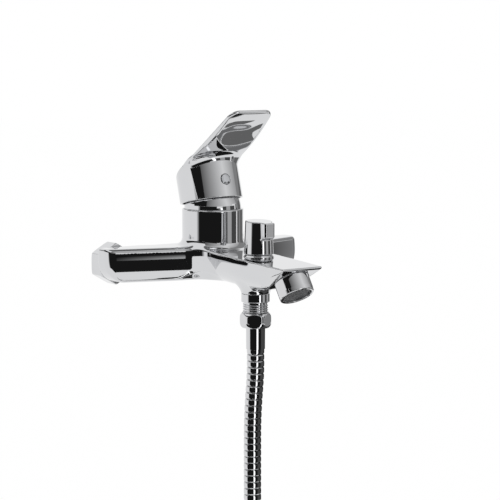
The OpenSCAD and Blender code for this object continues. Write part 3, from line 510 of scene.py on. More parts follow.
    @classmethod
    def moulded(
        cls, name: str, field: Field, low: Sequence[float], high: Sequence[float], step: float, place: Matrix | None = None
    ) -> bpy.types.Object:
        """A piece netted from a field, then set in its place."""
        return cls.make(name, *cls.skin(field, low, high, step), place)


def settle(piece: bpy.types.Object, body: Body, wardrobe: Wardrobe, *nodes: str, slot: Slot = Slot.CHROME) -> bpy.types.Object:
    """Dresses a piece, sets it on its body and hides the CAD nodes that it stands for.

    Args:
        piece: the piece.
        body: the body that it rides on.
        wardrobe: the finishes.
        nodes: the CAD nodes.
        slot: its finish.

    Returns:
        The piece.
    """
    wardrobe.dress(piece, slot)
    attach(piece, body.value)
    if nodes:
        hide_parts(*nodes)
    LOG.info("%s rides on %s: %d faces", piece.name, body.value, len(piece.data.polygons))
    return piece


INLET_X = 75.0
AXIS_Y = -44.0
PIVOT_Z = 44.0
SPOUT_TILT = 33.0
AERATOR_Y = -119.0
AERATOR_Z = -15.4
HOSE_Y = -106.0
DIVERTER_Y = -110.5


def tan(degrees: float) -> float:
    """Tangent of an angle in degrees."""
    return math.tan(math.radians(degrees))


def sin(degrees: float) -> float:
    """Sine of an angle in degrees."""
    return math.sin(math.radians(degrees))


def cos(degrees: float) -> float:
    """Cosine of an angle in degrees."""
    return math.cos(math.radians(degrees))


def upright(y: float, z: float = 0.0) -> Matrix:
    """Place of an upright axis in front of the wall."""
    return Matrix.Translation((0.0, y, z))


AERATOR_PLACE = upright(AXIS_Y + AERATOR_Y, AERATOR_Z) @ Matrix.Rotation(math.radians(-SPOUT_TILT), 4, "X")
LEVER_PLACE = upright(AXIS_Y, PIVOT_Z) @ Matrix.Rotation(math.radians(-16.0), 4, "X")


def local(place: Matrix, x: Array, y: Array, z: Array) -> tuple[Array, Array, Array]:
    """Coordinates of points on a placed piece's own axes."""
    back = np.array(place.inverted())
    return tuple(back[i, 0] * x + back[i, 1] * y + back[i, 2] * z + back[i, 3] for i in range(3))


@dataclass
class BodyCasting:
    """The cast body: two arms, the tower, the spout and the boss of the shower outlet."""

    arm_reach: float = 94.5
    arm_top: float = 14.5
    arm_root_front: float = 56.0
    arm_root_x: float = 20.0
    arm_slope: float = 23.5 / 74.5
    arm_crown: float = 1.2
    arm_edge: float = 3.2
    arm_end: float = 7.0
    tower_r: float = 25.3
    tower_top: float = 44.2
    tower_foot: float = 6.0
    spout_root: float = 18.0
    spout_reach: float = 125.4
    spout_bottom: float = 13.8
    keel: float = 8.0
    lean_root: float = 10.0
    lean_lip: float = 4.0
    brow: float = 5.0
    armpit: float = 13.0
    boss_r: float = 11.5
    boss_bottom: float = 19.4
    boss_fillet: float = 7.0
    aerator_length: float = 14.0
    cell: float = 0.9

    def spout_run(self, y: Array) -> Array:
        """Share of the way from the spout's root to its lip."""
        return (-y - self.spout_root) / (self.spout_reach - self.spout_root)

    def spout_top(self, y: Array) -> Array:
        """Height of the spout's top face."""
        return 12.5 - 5.3 * self.spout_run(y)

    def spout_half(self, y: Array) -> Array:
        """Half of the spout's width at its top."""
        t = np.clip(self.spout_run(y), 0, 1.1)
        return 20.0 * (1 - t) * (1 - 2 * t) + 4 * 20.8 * t * (1 - t) + 19.0 * t * (2 * t - 1)

    def shell(self, x: Array, y: Array, z: Array) -> Array:
        """Field of the arms and the spout, blended in plan."""
        ax, yc = np.sqrt(x * x + 0.25), y - AXIS_Y
        w = smooth((-yc - 6) / 22)
        bow = self.arm_crown * (1 - np.clip((z - 0.75) / 13.75, -1, 1) ** 2)
        front = (-y - self.arm_root_front + self.arm_slope * (ax - self.arm_root_x)) * 0.9507 - bow
        back = y + 19.5 - 4.1 * smooth((ax - 40) / 18)
        arms = round_max(round_max(front, ax - self.arm_reach, self.arm_end), back, 3.0)
        top = self.spout_top(yc)
        lean = self.lean_root + (self.lean_lip - self.lean_root) * smooth(2 * self.spout_run(yc))
        fall = top - z - self.brow
        fall = 0.5 * (fall + np.sqrt(fall * fall + 0.3))
        side = (ax - self.spout_half(yc) + lean * fall / (26.3 - self.brow)) * 0.95
        spout = round_max(round_max(side, -yc - self.spout_reach, 0.8), yc - 8, 2.0)
        plan = round_min(arms, spout, self.armpit)
        roof = z - (self.arm_top + (top - self.arm_top) * w)
        soft = 1 + 0.8 * (1 - smooth((-yc - 20) / 45))
        found = round_max(plan, roof, self.arm_edge + (soft - self.arm_edge) * w)
        along, high = np.maximum(ax - self.arm_reach + 15, 0), np.maximum(7 - z - 0.8 * w, 0)
        q = np.hypot(along / 15, high / 20)
        end = np.where(q < 0.2, -12, (q - 1) * q / (np.hypot(along / 225, high / 400) + 1e-9))
        end = np.maximum(end, -12)
        seat_y = AERATOR_Y + self.aerator_length * sin(SPOUT_TILT)
        seat = AERATOR_Z + self.aerator_length * cos(SPOUT_TILT) - tan(SPOUT_TILT) * (yc - seat_y)
        under = round_max(end, (seat - z) * cos(SPOUT_TILT), 5.0)
        low = np.maximum(-self.spout_bottom, seat)
        room = 0.45 * np.maximum(top - low, 1.0)
        nook = 7 * np.exp(-(((ax - 25) / 9) ** 2)) * smooth((-yc - 2) / 10)
        return round_max(found, under, np.minimum(self.arm_edge + (self.keel - self.arm_edge) * w + nook, room))

    def field(self, x: Array, y: Array, z: Array) -> Array:
        """Field of the whole casting with its bores."""
        yc = y - AXIS_Y
        tower = round_max(np.hypot(x, yc) - self.tower_r, z - self.tower_top, 1.0)
        tower = np.maximum(tower, -4 - z)
        found = round_min(self.shell(x, y, z), tower, self.tower_foot)
        boss = round_max(np.hypot(x, y - HOSE_Y) - self.boss_r, -self.boss_bottom - z, 0.4)
        found = round_min(found, np.maximum(boss, z - 2), self.boss_fillet)
        found = drill(found, x, yc, z, (20.1, 10, 60), (22.1, 39.5, 60))
        found = drill(found, x, y - DIVERTER_Y, z, (9.0, -8.4, 30), (12.1, 9.3, 30))
        found = drill(found, x, y - HOSE_Y, z, (8.5, -30, -11.4))
        found = drill(found, *local(AERATOR_PLACE, x, y, z), (12.0, 13, 17.1))
        return drill(found, np.abs(x) - INLET_X, z, y, (9.6, -26.4, -10))

    def build(self, wardrobe: Wardrobe) -> None:
        """Nets the casting and sets it on the mixer's body."""
        piece = Mesher.moulded("mixer_casting", self.field, (-96.5, -171.5, -21.5), (96.5, -13, 46), self.cell)
        settle(piece, Body.MIXER, wardrobe, "body_casting")


@dataclass
class Lever:
    """The lever handle with its scooped blade, and its index cap."""

    cup_r: float = 26.0
    cup_inner_r: float = 24.1
    top: float = 34.9
    rise: float = 20.0
    reach: float = 79.0
    half_tip: float = 20.6
    corner: float = 8.0
    tip: float = 3.0
    root: float = 5.0
    belly: float = 1.5
    scoop: float = 2.0
    crease: float = 5.5
    screw_height: float = 18.9
    cell: float = 0.6

    def field(self, x: Array, y: Array, z: Array) -> Array:
        """Field of the handle on the lever's own axes."""
        slope = tan(self.rise)
        roof = (z - self.top + slope * y) * cos(self.rise)
        rim = (6.3 + 0.0731 * y - z) * 0.9973
        wall = np.hypot(x, y) - self.cup_r
        cup = round_max(round_max(wall, roof, 1.2), rim, 0.5)
        ax = np.sqrt(x * x + 0.04)
        narrowing = (25.8 - self.half_tip) / (self.reach - self.corner)
        plan = (ax - 25.8 - y * narrowing) / math.hypot(1, narrowing)
        plan = round_max(plan, -y - self.reach, self.corner)
        out = 0.6 * np.hypot(x, y) - 0.4 * y
        t = np.clip((self.reach - out) / (self.reach - self.cup_r), 0, 1)
        thick = self.tip + (self.root - self.tip) * t + self.belly * np.sin(math.pi * t)
        half = 23.2 + narrowing * np.clip(y, -90, 0)
        hollow = np.clip(1 - np.abs(x / half) ** 2.6, 0, 1) * smooth((y + self.reach - 7) / 18) * smooth((out - self.cup_r) / 30)
        dish = np.minimum(self.scoop, thick - 1.8) * hollow
        under = (self.top + slope * out - thick + dish - z) * cos(self.rise)
        blade = round_max(round_max(plan, roof, 1.4), under, np.minimum(1.2, 0.35 * thick))
        blade = np.maximum(blade, y - 1)
        found = round_min(cup, blade, 0.4 + self.crease * smooth((-y - 2) / 14))
        found = np.maximum(found, -np.maximum(np.hypot(x, y) - self.cup_inner_r, roof + 3.6))
        hub = np.maximum(np.maximum(np.hypot(x, y) - 7.6, 9.5 - z), roof + 1)
        found = np.minimum(found, hub)
        socket = np.maximum(np.maximum(np.abs(x), np.abs(y)) - 4.1, z - self.screw_height - 6.3)
        found = np.maximum(found, -socket)
        return drill(found, x, z - self.screw_height, y, (4.5, -30, -22))

    def build(self, wardrobe: Wardrobe) -> None:
        """Nets the handle, turns the index cap and sets both on the lever."""
        handle = Mesher.moulded("lever_grip", self.field, (-28, -81, 0.5), (28, 28, 66), self.cell, LEVER_PLACE)
        settle(handle, Body.LEVER, wardrobe, "lever_handle")
        face = LEVER_PLACE @ Matrix.Translation((0, 0, self.screw_height)) @ Matrix.Rotation(math.pi / 2, 4, "X")
        cap = Mesher.turned("index_cap", [(0.01, 23.5, 0.05), (4.3, 23.5, 0.2), (4.3, 26.1, 0.5), (2.6, 26.5, 2.0),
            (0.01, 26.6, 0.05)], face, 64)
        settle(cap, Body.LEVER, wardrobe, "index_plug", slot=Slot.INDEX)


@dataclass
class DomeRing:
    """The domed ring between the tower and the lever's cup."""

    r: float = 23.5
    wall: float = 1.8
    opening: float = 19.0

    def arc(self, r: float) -> list[tuple[float, float, float]]:
        """One wall's corners, from its foot up to the opening; the outer two are sharper."""
        high = math.degrees(math.acos(self.opening / r))
        spots = [(r * cos(a), r * sin(a)) for a in np.linspace(0.5, high, 10)]
        return [(*spot, 6.0 if 0 < k < len(spots) - 1 else 0.2) for k, spot in enumerate(spots)]

    def build(self, wardrobe: Wardrobe) -> None:
        """Turns the ring and sets it on the body."""
        outline = self.arc(self.r) + self.arc(self.r - self.wall)[::-1]
        ring = Mesher.turned("dome_cover", outline, upright(AXIS_Y, PIVOT_Z), 160)
        settle(ring, Body.MIXER, wardrobe, "dome_ring")


@dataclass
class UnionNut:
    """A union nut on one inlet."""

    side: int
    flats: float = 30.0
    length: float = 15.0
    bevel: float = 1.6
    cell: float = 0.5

    def field(self, x: Array, y: Array, z: Array) -> Array:
        """Field of the nut about its axis, which runs along Z."""
        r, corner = np.hypot(x, y), self.flats / math.sqrt(3)
        found = hex_field(x, y, self.flats, 0.0, 0.5)
        found = round_max(found, np.maximum(-self.length - z, z), 0.3)
        for rise in (z + self.length, -z):
            found = round_max(found, ((r - corner + self.bevel) - 1.667 * rise) * 0.514, 0.3)
        return drill(found, x, y, z, (10.66, -16, -12.3), (12.7, -12.4, -7.0), (12.1, -7.1, 1.0))

    def build(self, wardrobe: Wardrobe) -> None:
        """Nets the nut and sets it on its own body."""
        left = self.side < 0
        place = Matrix.Translation((self.side * INLET_X, 0, 0)) @ Matrix.Rotation(-math.pi / 2, 4, "X")
        name = "left" if left else "right"
        nut = Mesher.moulded(f"inlet_nut_{name}", self.field, (-19, -19, -16), (19, 19, 1), self.cell, place)
        body = Body.NUT_LEFT if left else Body.NUT_RIGHT
        settle(nut, body, wardrobe, f"union_nut_{name}")
        thread = Threading(12.1, 1.8, 6.4, -0.55).build(f"inlet_thread_{name}", place @ Matrix.Translation((0, 0, -6.7)))
        settle(thread, body, wardrobe)


@dataclass
class DiverterKnob:
    """The pull-up knob with its finger nose."""

    foot_r: float = 11.8
    top_r: float = 10.7
    foot: float = 12.6
    top: float = 39.0
    nose_width: float = 10.0
    nose_reach: float = 16.0
    nose_bottom: float = 24.7
    slope: float = 3.0
    cell: float = 0.42

    def field(self, x: Array, y: Array, z: Array) -> Array:
        """Field of the knob about its axis."""
        taper = (self.foot_r - self.top_r) / (self.top + 2 - self.foot)
        cone = np.hypot(x, y) - self.foot_r + taper * (z - self.foot)
        nose = round_max(np.abs(x) - self.nose_width / 2, -y - self.nose_reach, 2.0)
        nose = np.maximum(nose, y)
        lift = self.nose_bottom + 0.25 * np.maximum(-y - self.top_r, 0) - z
        nose = round_max(nose, lift, 1.2)
        found = round_min(cone, nose, 1.2)
        roof = (z - self.top - tan(self.slope) * y) * cos(self.slope)
        found = round_max(found, roof, 0.9)
        found = round_max(found, self.foot - z, 0.5)
        return drill(found, x, y, z, (8.4, 0, 25.2), (3.05, 0, self.top - 5))

    def build(self, wardrobe: Wardrobe) -> None:
        """Nets the knob and sets it on the diverter."""
        knob = Mesher.moulded("pull_knob", self.field, (-13, -17, 11.5), (13, 13, 41), self.cell, upright(DIVERTER_Y))
        settle(knob, Body.DIVERTER, wardrobe, "diverter_knob")
        collar = Mesher.turned("bonnet_collar", [(3.1, 4, 0.2), (8.9, 4, 0.3), (8.9, 9.2, 0.1), (12.0, 9.3, 0.1), (12.0, 10.7, 0.4),
            (10.8, 12.2, 0.3), (7.6, 12.2, 0.2), (7.6, 24, 0.3), (6.2, 24, 0.1), (6.2, 7, 0.1), (3.1, 7, 0.1)], upright(DIVERTER_Y), 96)
        settle(collar, Body.MIXER, wardrobe, "diverter_bonnet")
        wire, low, high, coils = 0.5, 9.4, 21.0, 5
        start = upright(DIVERTER_Y) @ Matrix.Translation((0, 0, low))
        spring = Threading(5.3, (high - low) / coils, high - low, wire).build("return_spring", start)
        settle(spring, Body.MIXER, wardrobe, "diverter_spring", slot=Slot.STEEL)
        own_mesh(spring)


class Tree(NodeMaker):
    """A Geometry Nodes tree that is built, applied to an object and turned into a plain mesh."""

    def __init__(self, name: str) -> None:
        """Makes the tree with its input and output."""
        self.tree = bpy.data.node_groups.new(name, "GeometryNodeTree")
        for way in ("OUTPUT", "INPUT"):
            self.tree.interface.new_socket("Geometry", in_out=way, socket_type="NodeSocketGeometry")
        self.given = self.node("NodeGroupInput")
        self.result = self.node("NodeGroupOutput")
        self.sizes: dict[str, float] = {}

    def size(self, name: str, value: float) -> Value:
        """Adds a named input and returns its value."""
        self.tree.interface.new_socket(name, in_out="INPUT", socket_type="NodeSocketFloat")
        self.sizes[name] = value
        return self.value(self.given, name)

    def tube_of(self, line: Any, sides: int, r: Value) -> Any:
        """A closed tube along a curve.

        Args:
            line: the curve.
            sides: steps round the tube.
            r: its radius.

        Returns:
            The node that makes it.
        """
        ring = self.node("GeometryNodeCurvePrimitiveCircle", {"Resolution": sides, "Radius": r})
        return self.node("GeometryNodeCurveToMesh", {"Curve": line, "Profile Curve": ring.outputs[0], "Fill Caps": True})

    def finish(self, geometry: Any, material: bpy.types.Material) -> None:
        """Realizes instances, sets the material and ends the tree."""
        real = self.node("GeometryNodeRealizeInstances", {"Geometry": geometry})
        dressed = self.node("GeometryNodeSetMaterial", {"Geometry": real.outputs[0], "Material": material})
        self.link(dressed.outputs[0], self.result.inputs[0])

    def plain(self, name: str, carrier: bpy.types.Object, place: Matrix | None = None) -> bpy.types.Object:
        """Runs the tree on a carrier and keeps the result as a plain mesh.

        Args:
            name: the piece's name.
            carrier: the object that the tree starts from; it is removed.
            place: where the result is set, in metres.

        Returns:
            The piece.
        """
        modifier = carrier.modifiers.new("shape", "NODES")
        modifier.node_group = self.tree
        for item in self.tree.interface.items_tree:
            if item.in_out == "INPUT" and item.name in self.sizes:
                modifier[item.identifier] = self.sizes[item.name]
        bpy.context.view_layer.update()
        seen = carrier.evaluated_get(bpy.context.evaluated_depsgraph_get())
        mesh = bpy.data.meshes.new_from_object(seen)
        mesh.name = name
        carrier.modifiers.remove(modifier)
        bpy.data.objects.remove(carrier)
        if place is not None:
            mesh.transform(place)
        mesh.polygons.foreach_set("use_smooth", np.ones(len(mesh.polygons), bool))
        piece = bpy.data.objects.new(name, mesh)
        bpy.context.scene.collection.objects.link(piece)
        return piece


def carrier(name: str) -> bpy.types.Object:
    """An empty mesh for a tree that needs no input."""
    piece = bpy.data.objects.new(name, bpy.data.meshes.new(name))
    bpy.context.scene.collection.objects.link(piece)
    return piece


def metres(place: Matrix) -> Matrix:
    """A placement in millimetres as one in metres."""
    moved = place.copy()
    moved.translation = moved.translation * MM
    return moved


@dataclass
class Threading:
    """A screw thread wound round a rod, or inside a bore when its depth is negative, or a wound spring."""

    r: float
    pitch: float
    length: float
    depth: float

    def build(self, name: str, place: Matrix) -> bpy.types.Object:
        """Winds the ridge on a spiral.

        Args:
            name: the piece's name.
            place: where the thread's foot stands, in millimetres.

        Returns:
            The thread as a plain mesh.
        """
        tree = Tree(name + "_tree")
        radius, high = tree.size("Radius", self.r * MM), tree.size("Length", self.length * MM)
        shape = {"Rotations": self.length / self.pitch, "Start Radius": radius, "End Radius": radius, "Height": high}
        spiral = tree.node("GeometryNodeCurveSpiral", {"Resolution": 64, **shape})
        wound = tree.tube_of(spiral.outputs[0], 8, tree.size("Ridge", abs(self.depth) * MM))
        tree.finish(wound.outputs[0], bpy.data.materials["polished_chrome"])
        return tree.plain(name, carrier(name), metres(place))


@dataclass
class Aerator:
    """The aerator's turned shell and its screen."""

    r: float = 14.0
    wall: float = 2.6
    length: float = 14.0
    pitch: float = 1.5
    bar: float = 0.42
    lift: float = 0.3

    def build(self, wardrobe: Wardrobe) -> None:
        """Turns the shell, lays the screen and sets both on the body."""
        inner = self.r - self.wall
        top, edge = self.length, self.r
        shell = Mesher.turned("aerator_barrel", [(inner, 0.0, 0.5), (edge - 0.3, 0.0, 0.9), (edge, 3.6, 0.4), (edge, top - 0.2, 0.5),
            (11.9, top - 0.1, 0.1), (11.9, 17, 0.2), (9.5, 17, 0.2), (9.5, 11, 0.2), (inner, 11, 0.2)], AERATOR_PLACE)
        settle(shell, Body.MIXER, wardrobe, "aerator_shell")
        tree = Tree("screen_tree")
        wire, span = tree.size("Wire", self.bar * MM), tree.size("Span", 2 * (inner - 0.2) * MM)
        count, step = int(2 * inner / self.pitch), self.pitch * MM
        line = {"Count": count, "Start Location": (0, -(count - 1) / 2 * step, 0), "Offset": (0, step, 0)}
        row = tree.node("GeometryNodeMeshLine", line)
        spot = tree.node("ShaderNodeSeparateXYZ", {0: tree.value(tree.node("GeometryNodeInputPosition"))})
        share = tree.value(spot, 1) / (span * 0.5)
        size = tree.node("ShaderNodeCombineXYZ", {0: (1.0 - share * share).root(), 1: 1.0, 2: 1.0})
        bulk = tree.node("ShaderNodeCombineXYZ", {0: span, 1: wire, 2: wire})
        bar = tree.node("GeometryNodeMeshCube", {"Size": bulk.outputs[0]})
        held = {"Points": row.outputs[0], "Instance": bar.outputs[0], "Scale": size.outputs[0]}
        bars = tree.node("GeometryNodeInstanceOnPoints", held).outputs[0]
        moved = {"Geometry": bars, "Rotation": (0, 0, math.pi / 2), "Translation": (0, 0, self.lift * MM)}
        both = tree.node("GeometryNodeJoinGeometry")
        for part in (bars, tree.node("GeometryNodeTransform", moved).outputs[0]):
            tree.link(part, both.inputs[0])
        tree.finish(both.outputs[0], wardrobe.materials[Slot.AERATOR])
        screen = tree.plain("aerator_grid", carrier("screen"), metres(AERATOR_PLACE @ Matrix.Translation((0, 0, 2.0))))
        screen.data.polygons.foreach_set("use_smooth", np.zeros(len(screen.data.polygons), bool))
        settle(screen, Body.MIXER, wardrobe, "aerator_mesh", slot=Slot.AERATOR)


@dataclass
class ShowerOutlet:
    """The threaded nipple, the hose nut and the ferrule."""

    collar_r: float = 11.5
    collar_top: float = -19.4
    collar_bottom: float = -26.4
    thread_r: float = 10.3
    thread_bottom: float = -41.0
    nut_top: float = -34.8
    nut_bottom: float = -47.1
    nut_flats: float = 23.0
    nut_turn: float = 22.0

    def nut_field(self, x: Array, y: Array, z: Array) -> Array:
        """Field of the hose nut about its axis."""
        r, mid = np.hypot(x, y), (self.nut_top + self.nut_bottom) / 2
        barrel = r - (self.nut_flats / 2 + 1.1) + 1.9 * np.abs((z - mid) / 6.15) ** 4
        found = round_max(hex_field(x, y, self.nut_flats, self.nut_turn + 30, 0.4), barrel * 0.9, 0.35)
        found = round_max(found, np.maximum(z - self.nut_top, self.nut_bottom - z), 0.4)
        return drill(found, x, y, z, (7.85, -60, -30), (10.36, self.nut_bottom + 2.2, -30))

    def build(self, wardrobe: Wardrobe) -> None:
        """Makes the pieces and sets them on their bodies."""
        root = self.thread_r - 0.75
        place = upright(HOSE_Y)
        low, mid, high = self.thread_bottom, self.collar_bottom, self.collar_top
        nipple = Mesher.turned("outlet_nipple", [(5.5, low, 0.3), (root, low, 0.5), (root, mid, 0.1), (self.collar_r, mid, 0.7),
            (self.collar_r, high, 0.5), (8.4, high, 0.1), (8.4, -11.5, 0.3), (5.5, -11.5, 0.3)], place)
        settle(nipple, Body.MIXER, wardrobe, "shower_nipple")
        thread = Threading(root + 0.12, 1.81, 12.6, 0.62).build("outlet_thread", upright(HOSE_Y, low + 0.8))
        settle(thread, Body.MIXER, wardrobe)
        nut = Mesher.moulded("hose_union_nut", self.nut_field, (-14.5, -14.5, -48), (14.5, 14.5, -34), 0.36, place)
        settle(nut, Body.HOSE_NUT, wardrobe, "hose_nut")
        ferrule = Mesher.turned("crimp_ferrule", [(5.0, -63.4, 0.1), (7.2, -63.4, 0.1), (7.2, -64.5, 0.1), (7.6, -64.5, 0.15),
            (7.7, -44.5, 0.3), (5.0, -44.5, 0.2)], place)
        settle(ferrule, Body.MIXER, wardrobe, "hose_ferrule")


@dataclass
class Hose:
    """The ribbed metal hose: its route, its ribs and its far fittings."""

    r: float = 7.1
    rib: float = 0.9
    groove: float = 8.0
    pitch: float = 5.2
    coil_in: float = 58.0
    coil_pitch: float = 22.0
    turns: float = 2.2
    bend: float = 58.0
    straight: float = 14.0
    tail: float = 74.0
    tail_rise: float = 5.8

    NEAR = 0.2
    RINGS = 12
    DROP = ((0, -63.4), (0, -71), (0, -79), (-0.3, -87), (-0.9, -95), (-1.6, -103), (-2.2, -111), (-2.6, -119), (-2.9, -127),
            (-3, -135), (-3, -143), (-3, -151), (-3, -159), (-3, -167), (-3, -175), (-3, -183))

    def drop(self) -> list[Array]:
        """Points of the hanging stretch, on a smooth curve."""
        ends = [np.array([x, HOSE_Y, z]) for x, z in self.DROP]
        points = []
        for i in range(len(ends) - 1):
            a, b = ends[max(i - 1, 0)], ends[i]
            c, d = ends[i + 1], ends[min(i + 2, len(ends) - 1)]
            for f in np.arange(8) / 8:
                points.append(0.5 * (2 * b + (c - a) * f + (2 * a - 5 * b + 4 * c - d) * f**2 + (3 * b - a - 3 * c + d) * f**3))
        return points

    def coil(self) -> list[Array]:
        """Points of the bend, the flat coil and the tail on the floor."""
        x0, z0 = self.DROP[-1]
        points = [np.array([x0, HOSE_Y, z0 - s]) for s in np.arange(0, self.straight, 1.0)]
        z1 = z0 - self.straight
        for a in np.linspace(0, math.pi / 2, 60, endpoint=False):
            points.append(np.array([x0 - self.bend * (1 - math.cos(a)), HOSE_Y, z1 - self.bend * math.sin(a)]))
        growth = self.coil_pitch / (2 * math.pi)
        lead = math.atan(growth / self.coil_in)
        start = math.pi / 2 + lead
        foot = np.array([x0 - self.bend, HOSE_Y, z1 - self.bend])
        middle = foot - self.coil_in * np.array([math.cos(start), math.sin(start), 0])
        sweep = np.linspace(0, self.turns * 2 * math.pi, 620)
        for a in sweep:
            r = self.coil_in + growth * a
            points.append(middle + r * np.array([math.cos(start + a), math.sin(start + a), 0]))
        last = sweep[-1] - self.NEAR / r
        near = self.coil_in + growth * last
        end = points[-1]
        way = end - middle - near * np.array([math.cos(start + last), math.sin(start + last), 0])
        way = way / np.linalg.norm(way)
        for s in np.arange(1.0, self.tail + 0.5, 1.0):
            points.append(end + way * s + np.array([0, 0, self.tail_rise * float(smooth(np.array(s / 60)))]))
        return points

    def build(self, wardrobe: Wardrobe) -> None:
        route = np.array(self.drop() + self.coil())
        line = bpy.data.curves.new("hose_line", "CURVE")
        line.dimensions = "3D"
        spline = line.splines.new("POLY")
        spline.points.add(len(route) - 1)
        spline.points.foreach_set("co", np.concatenate([route * MM, np.ones((len(route), 1))], 1).ravel())
        follower = bpy.data.objects.new("hose_line", line)
        bpy.context.scene.collection.objects.link(follower)
        steps = np.linalg.norm(np.diff(route, axis=0), axis=1)
        length = float(steps.sum()) * MM
        tree = Tree("ribs_tree")
        ribs = round(length / (self.pitch * MM))
        pitch, depth = tree.size("Pitch", length / ribs), tree.size("Rib", self.rib / self.r)
        rings = {"Curve": tree.given.outputs["Geometry"], "Count": self.RINGS * ribs + 1}
        along = tree.node("GeometryNodeCaptureAttribute", {"Geometry": tree.node("GeometryNodeResampleCurve", rings).outputs[0]})
        along.capture_items.new("FLOAT", "Length")
        along.capture_items.new("VECTOR", "Middle")
        here = tree.value(tree.node("GeometryNodeInputPosition"))
        tree.link(tree.value(tree.node("GeometryNodeSplineParameter"), "Length"), along.inputs["Length"])
        tree.link(here, along.inputs["Middle"])
        tube = tree.tube_of(along.outputs["Geometry"], 28, tree.size("Radius", self.r * MM))
        count, middle = tree.value(along, "Length") / pitch, tree.value(along, "Middle")
        edge = abs(count.fraction() * 2.0 - 1.0)
        scale = 1.0 - depth * (edge * edge * 0.25 + edge**self.groove * 0.75)
        out = tree.node("ShaderNodeVectorMath", {0: here, 1: middle}, operation="SUBTRACT")
        drawn = tree.node("ShaderNodeVectorMath", {0: out.outputs[0], "Scale": scale}, operation="SCALE")
        spot = tree.node("ShaderNodeVectorMath", {0: middle, 1: drawn.outputs[0]}, operation="ADD")
        ribbed = tree.node("GeometryNodeSetPosition", {"Geometry": tube.outputs[0], "Position": spot.outputs[0]})
        # The rib count is kept as a UV map; it places the painted shade in the grooves.
        map_spot = tree.node("ShaderNodeCombineXYZ", {1: count})
        stored = {"Geometry": ribbed.outputs[0], "Name": "ribs", "Value": map_spot.outputs[0]}
        kept = tree.node("GeometryNodeStoreNamedAttribute", stored, data_type="FLOAT2", domain="CORNER")
        finish = HOSE_FINISH.build()
        tree.finish(kept.outputs[0], finish)
        hose = tree.plain("ribbed_hose", follower)
        settle(hose, Body.MIXER, wardrobe, "hose_drop", "hose_coil")
        hose.data.materials[0] = finish
        way = route[-1] - route[-2]
        turn = Matrix.Rotation(math.atan2(way[1], way[0]), 4, "Z") @ Matrix.Rotation(math.pi / 2, 4, "Y")
        place = Matrix.Translation(Vector(route[-1])) @ turn
        ferrule = Mesher.turned("far_sleeve", [(5.0, 0.0, 0.2), (7.1, 0.0, 0.3), (7.45, 2.4, 0.8), (7.45, 16.7, 0.3),
            (5.0, 16.7, 0.2)], place, 64)
        settle(ferrule, Body.MIXER, wardrobe, "far_ferrule")
        cone = Mesher.turned("cone_coupling", [(7.85, 3, 0.3), (9.2, 3, 0.8), (12.2, 23.2, 2.0), (12.2, 32.0, 0.9),
            (10.36, 32.2, 0.3), (10.36, 20.7, 0.1), (10.96, 20.7, 0.1), (10.96, 16.3, 0.1), (7.85, 16.3, 0.1)], place, 96)
        settle(cone, Body.CONE_NUT, wardrobe, "cone_nut")
        thread = Threading(10.36, 1.81, 9.0, -0.5).build("far_thread", place @ Matrix.Translation((0, 0, 21.6)))
        settle(thread, Body.CONE_NUT, wardrobe)
        LOG.info("hose of %.4f m", length)


@dataclass
class View:
    """The camera, at the photograph's angle."""

    turn: float = 34.5
    lift: float = 6.5
    distance: float = 1500.0
    focal: float = 1815.0
    shift_right: float = 30.7
    shift_up: float = 9.3

    def build(self) -> None:
        """Makes the camera and sets it as the scene's."""
        s, c, sl, cl = sin(self.turn), cos(self.turn), sin(self.lift), cos(self.lift)
        ahead, right, up = Vector((s * cl, c * cl, -sl)), Vector((c, -s, 0)), Vector((s * sl, c * sl, cl))
        lens = bpy.data.cameras.new("camera")
        lens.sensor_width = 36.0
        lens.lens = 36.0 * self.focal / 500.0
        lens.clip_start, lens.clip_end = 0.05, 60.0
        camera = bpy.data.objects.new("camera", lens)
        spot = Vector((0, AXIS_Y, 0)) - ahead * self.distance + right * self.shift_right + up * self.shift_up
        camera.matrix_world = Matrix.Translation(spot * MM) @ Matrix((right, up, -ahead)).transposed().to_4x4()
        bpy.context.scene.collection.objects.link(camera)
        bpy.context.scene.camera = camera


class Glow(Enum):
    """How bright a studio card is."""

    BLACK = 0.012
    DARK = 0.08
    DUSK = 0.17
    SOFT = 0.3
    GREY = 0.48
    PALE = 0.9
    WHITE = 1.1
    BRIGHT = 1.9


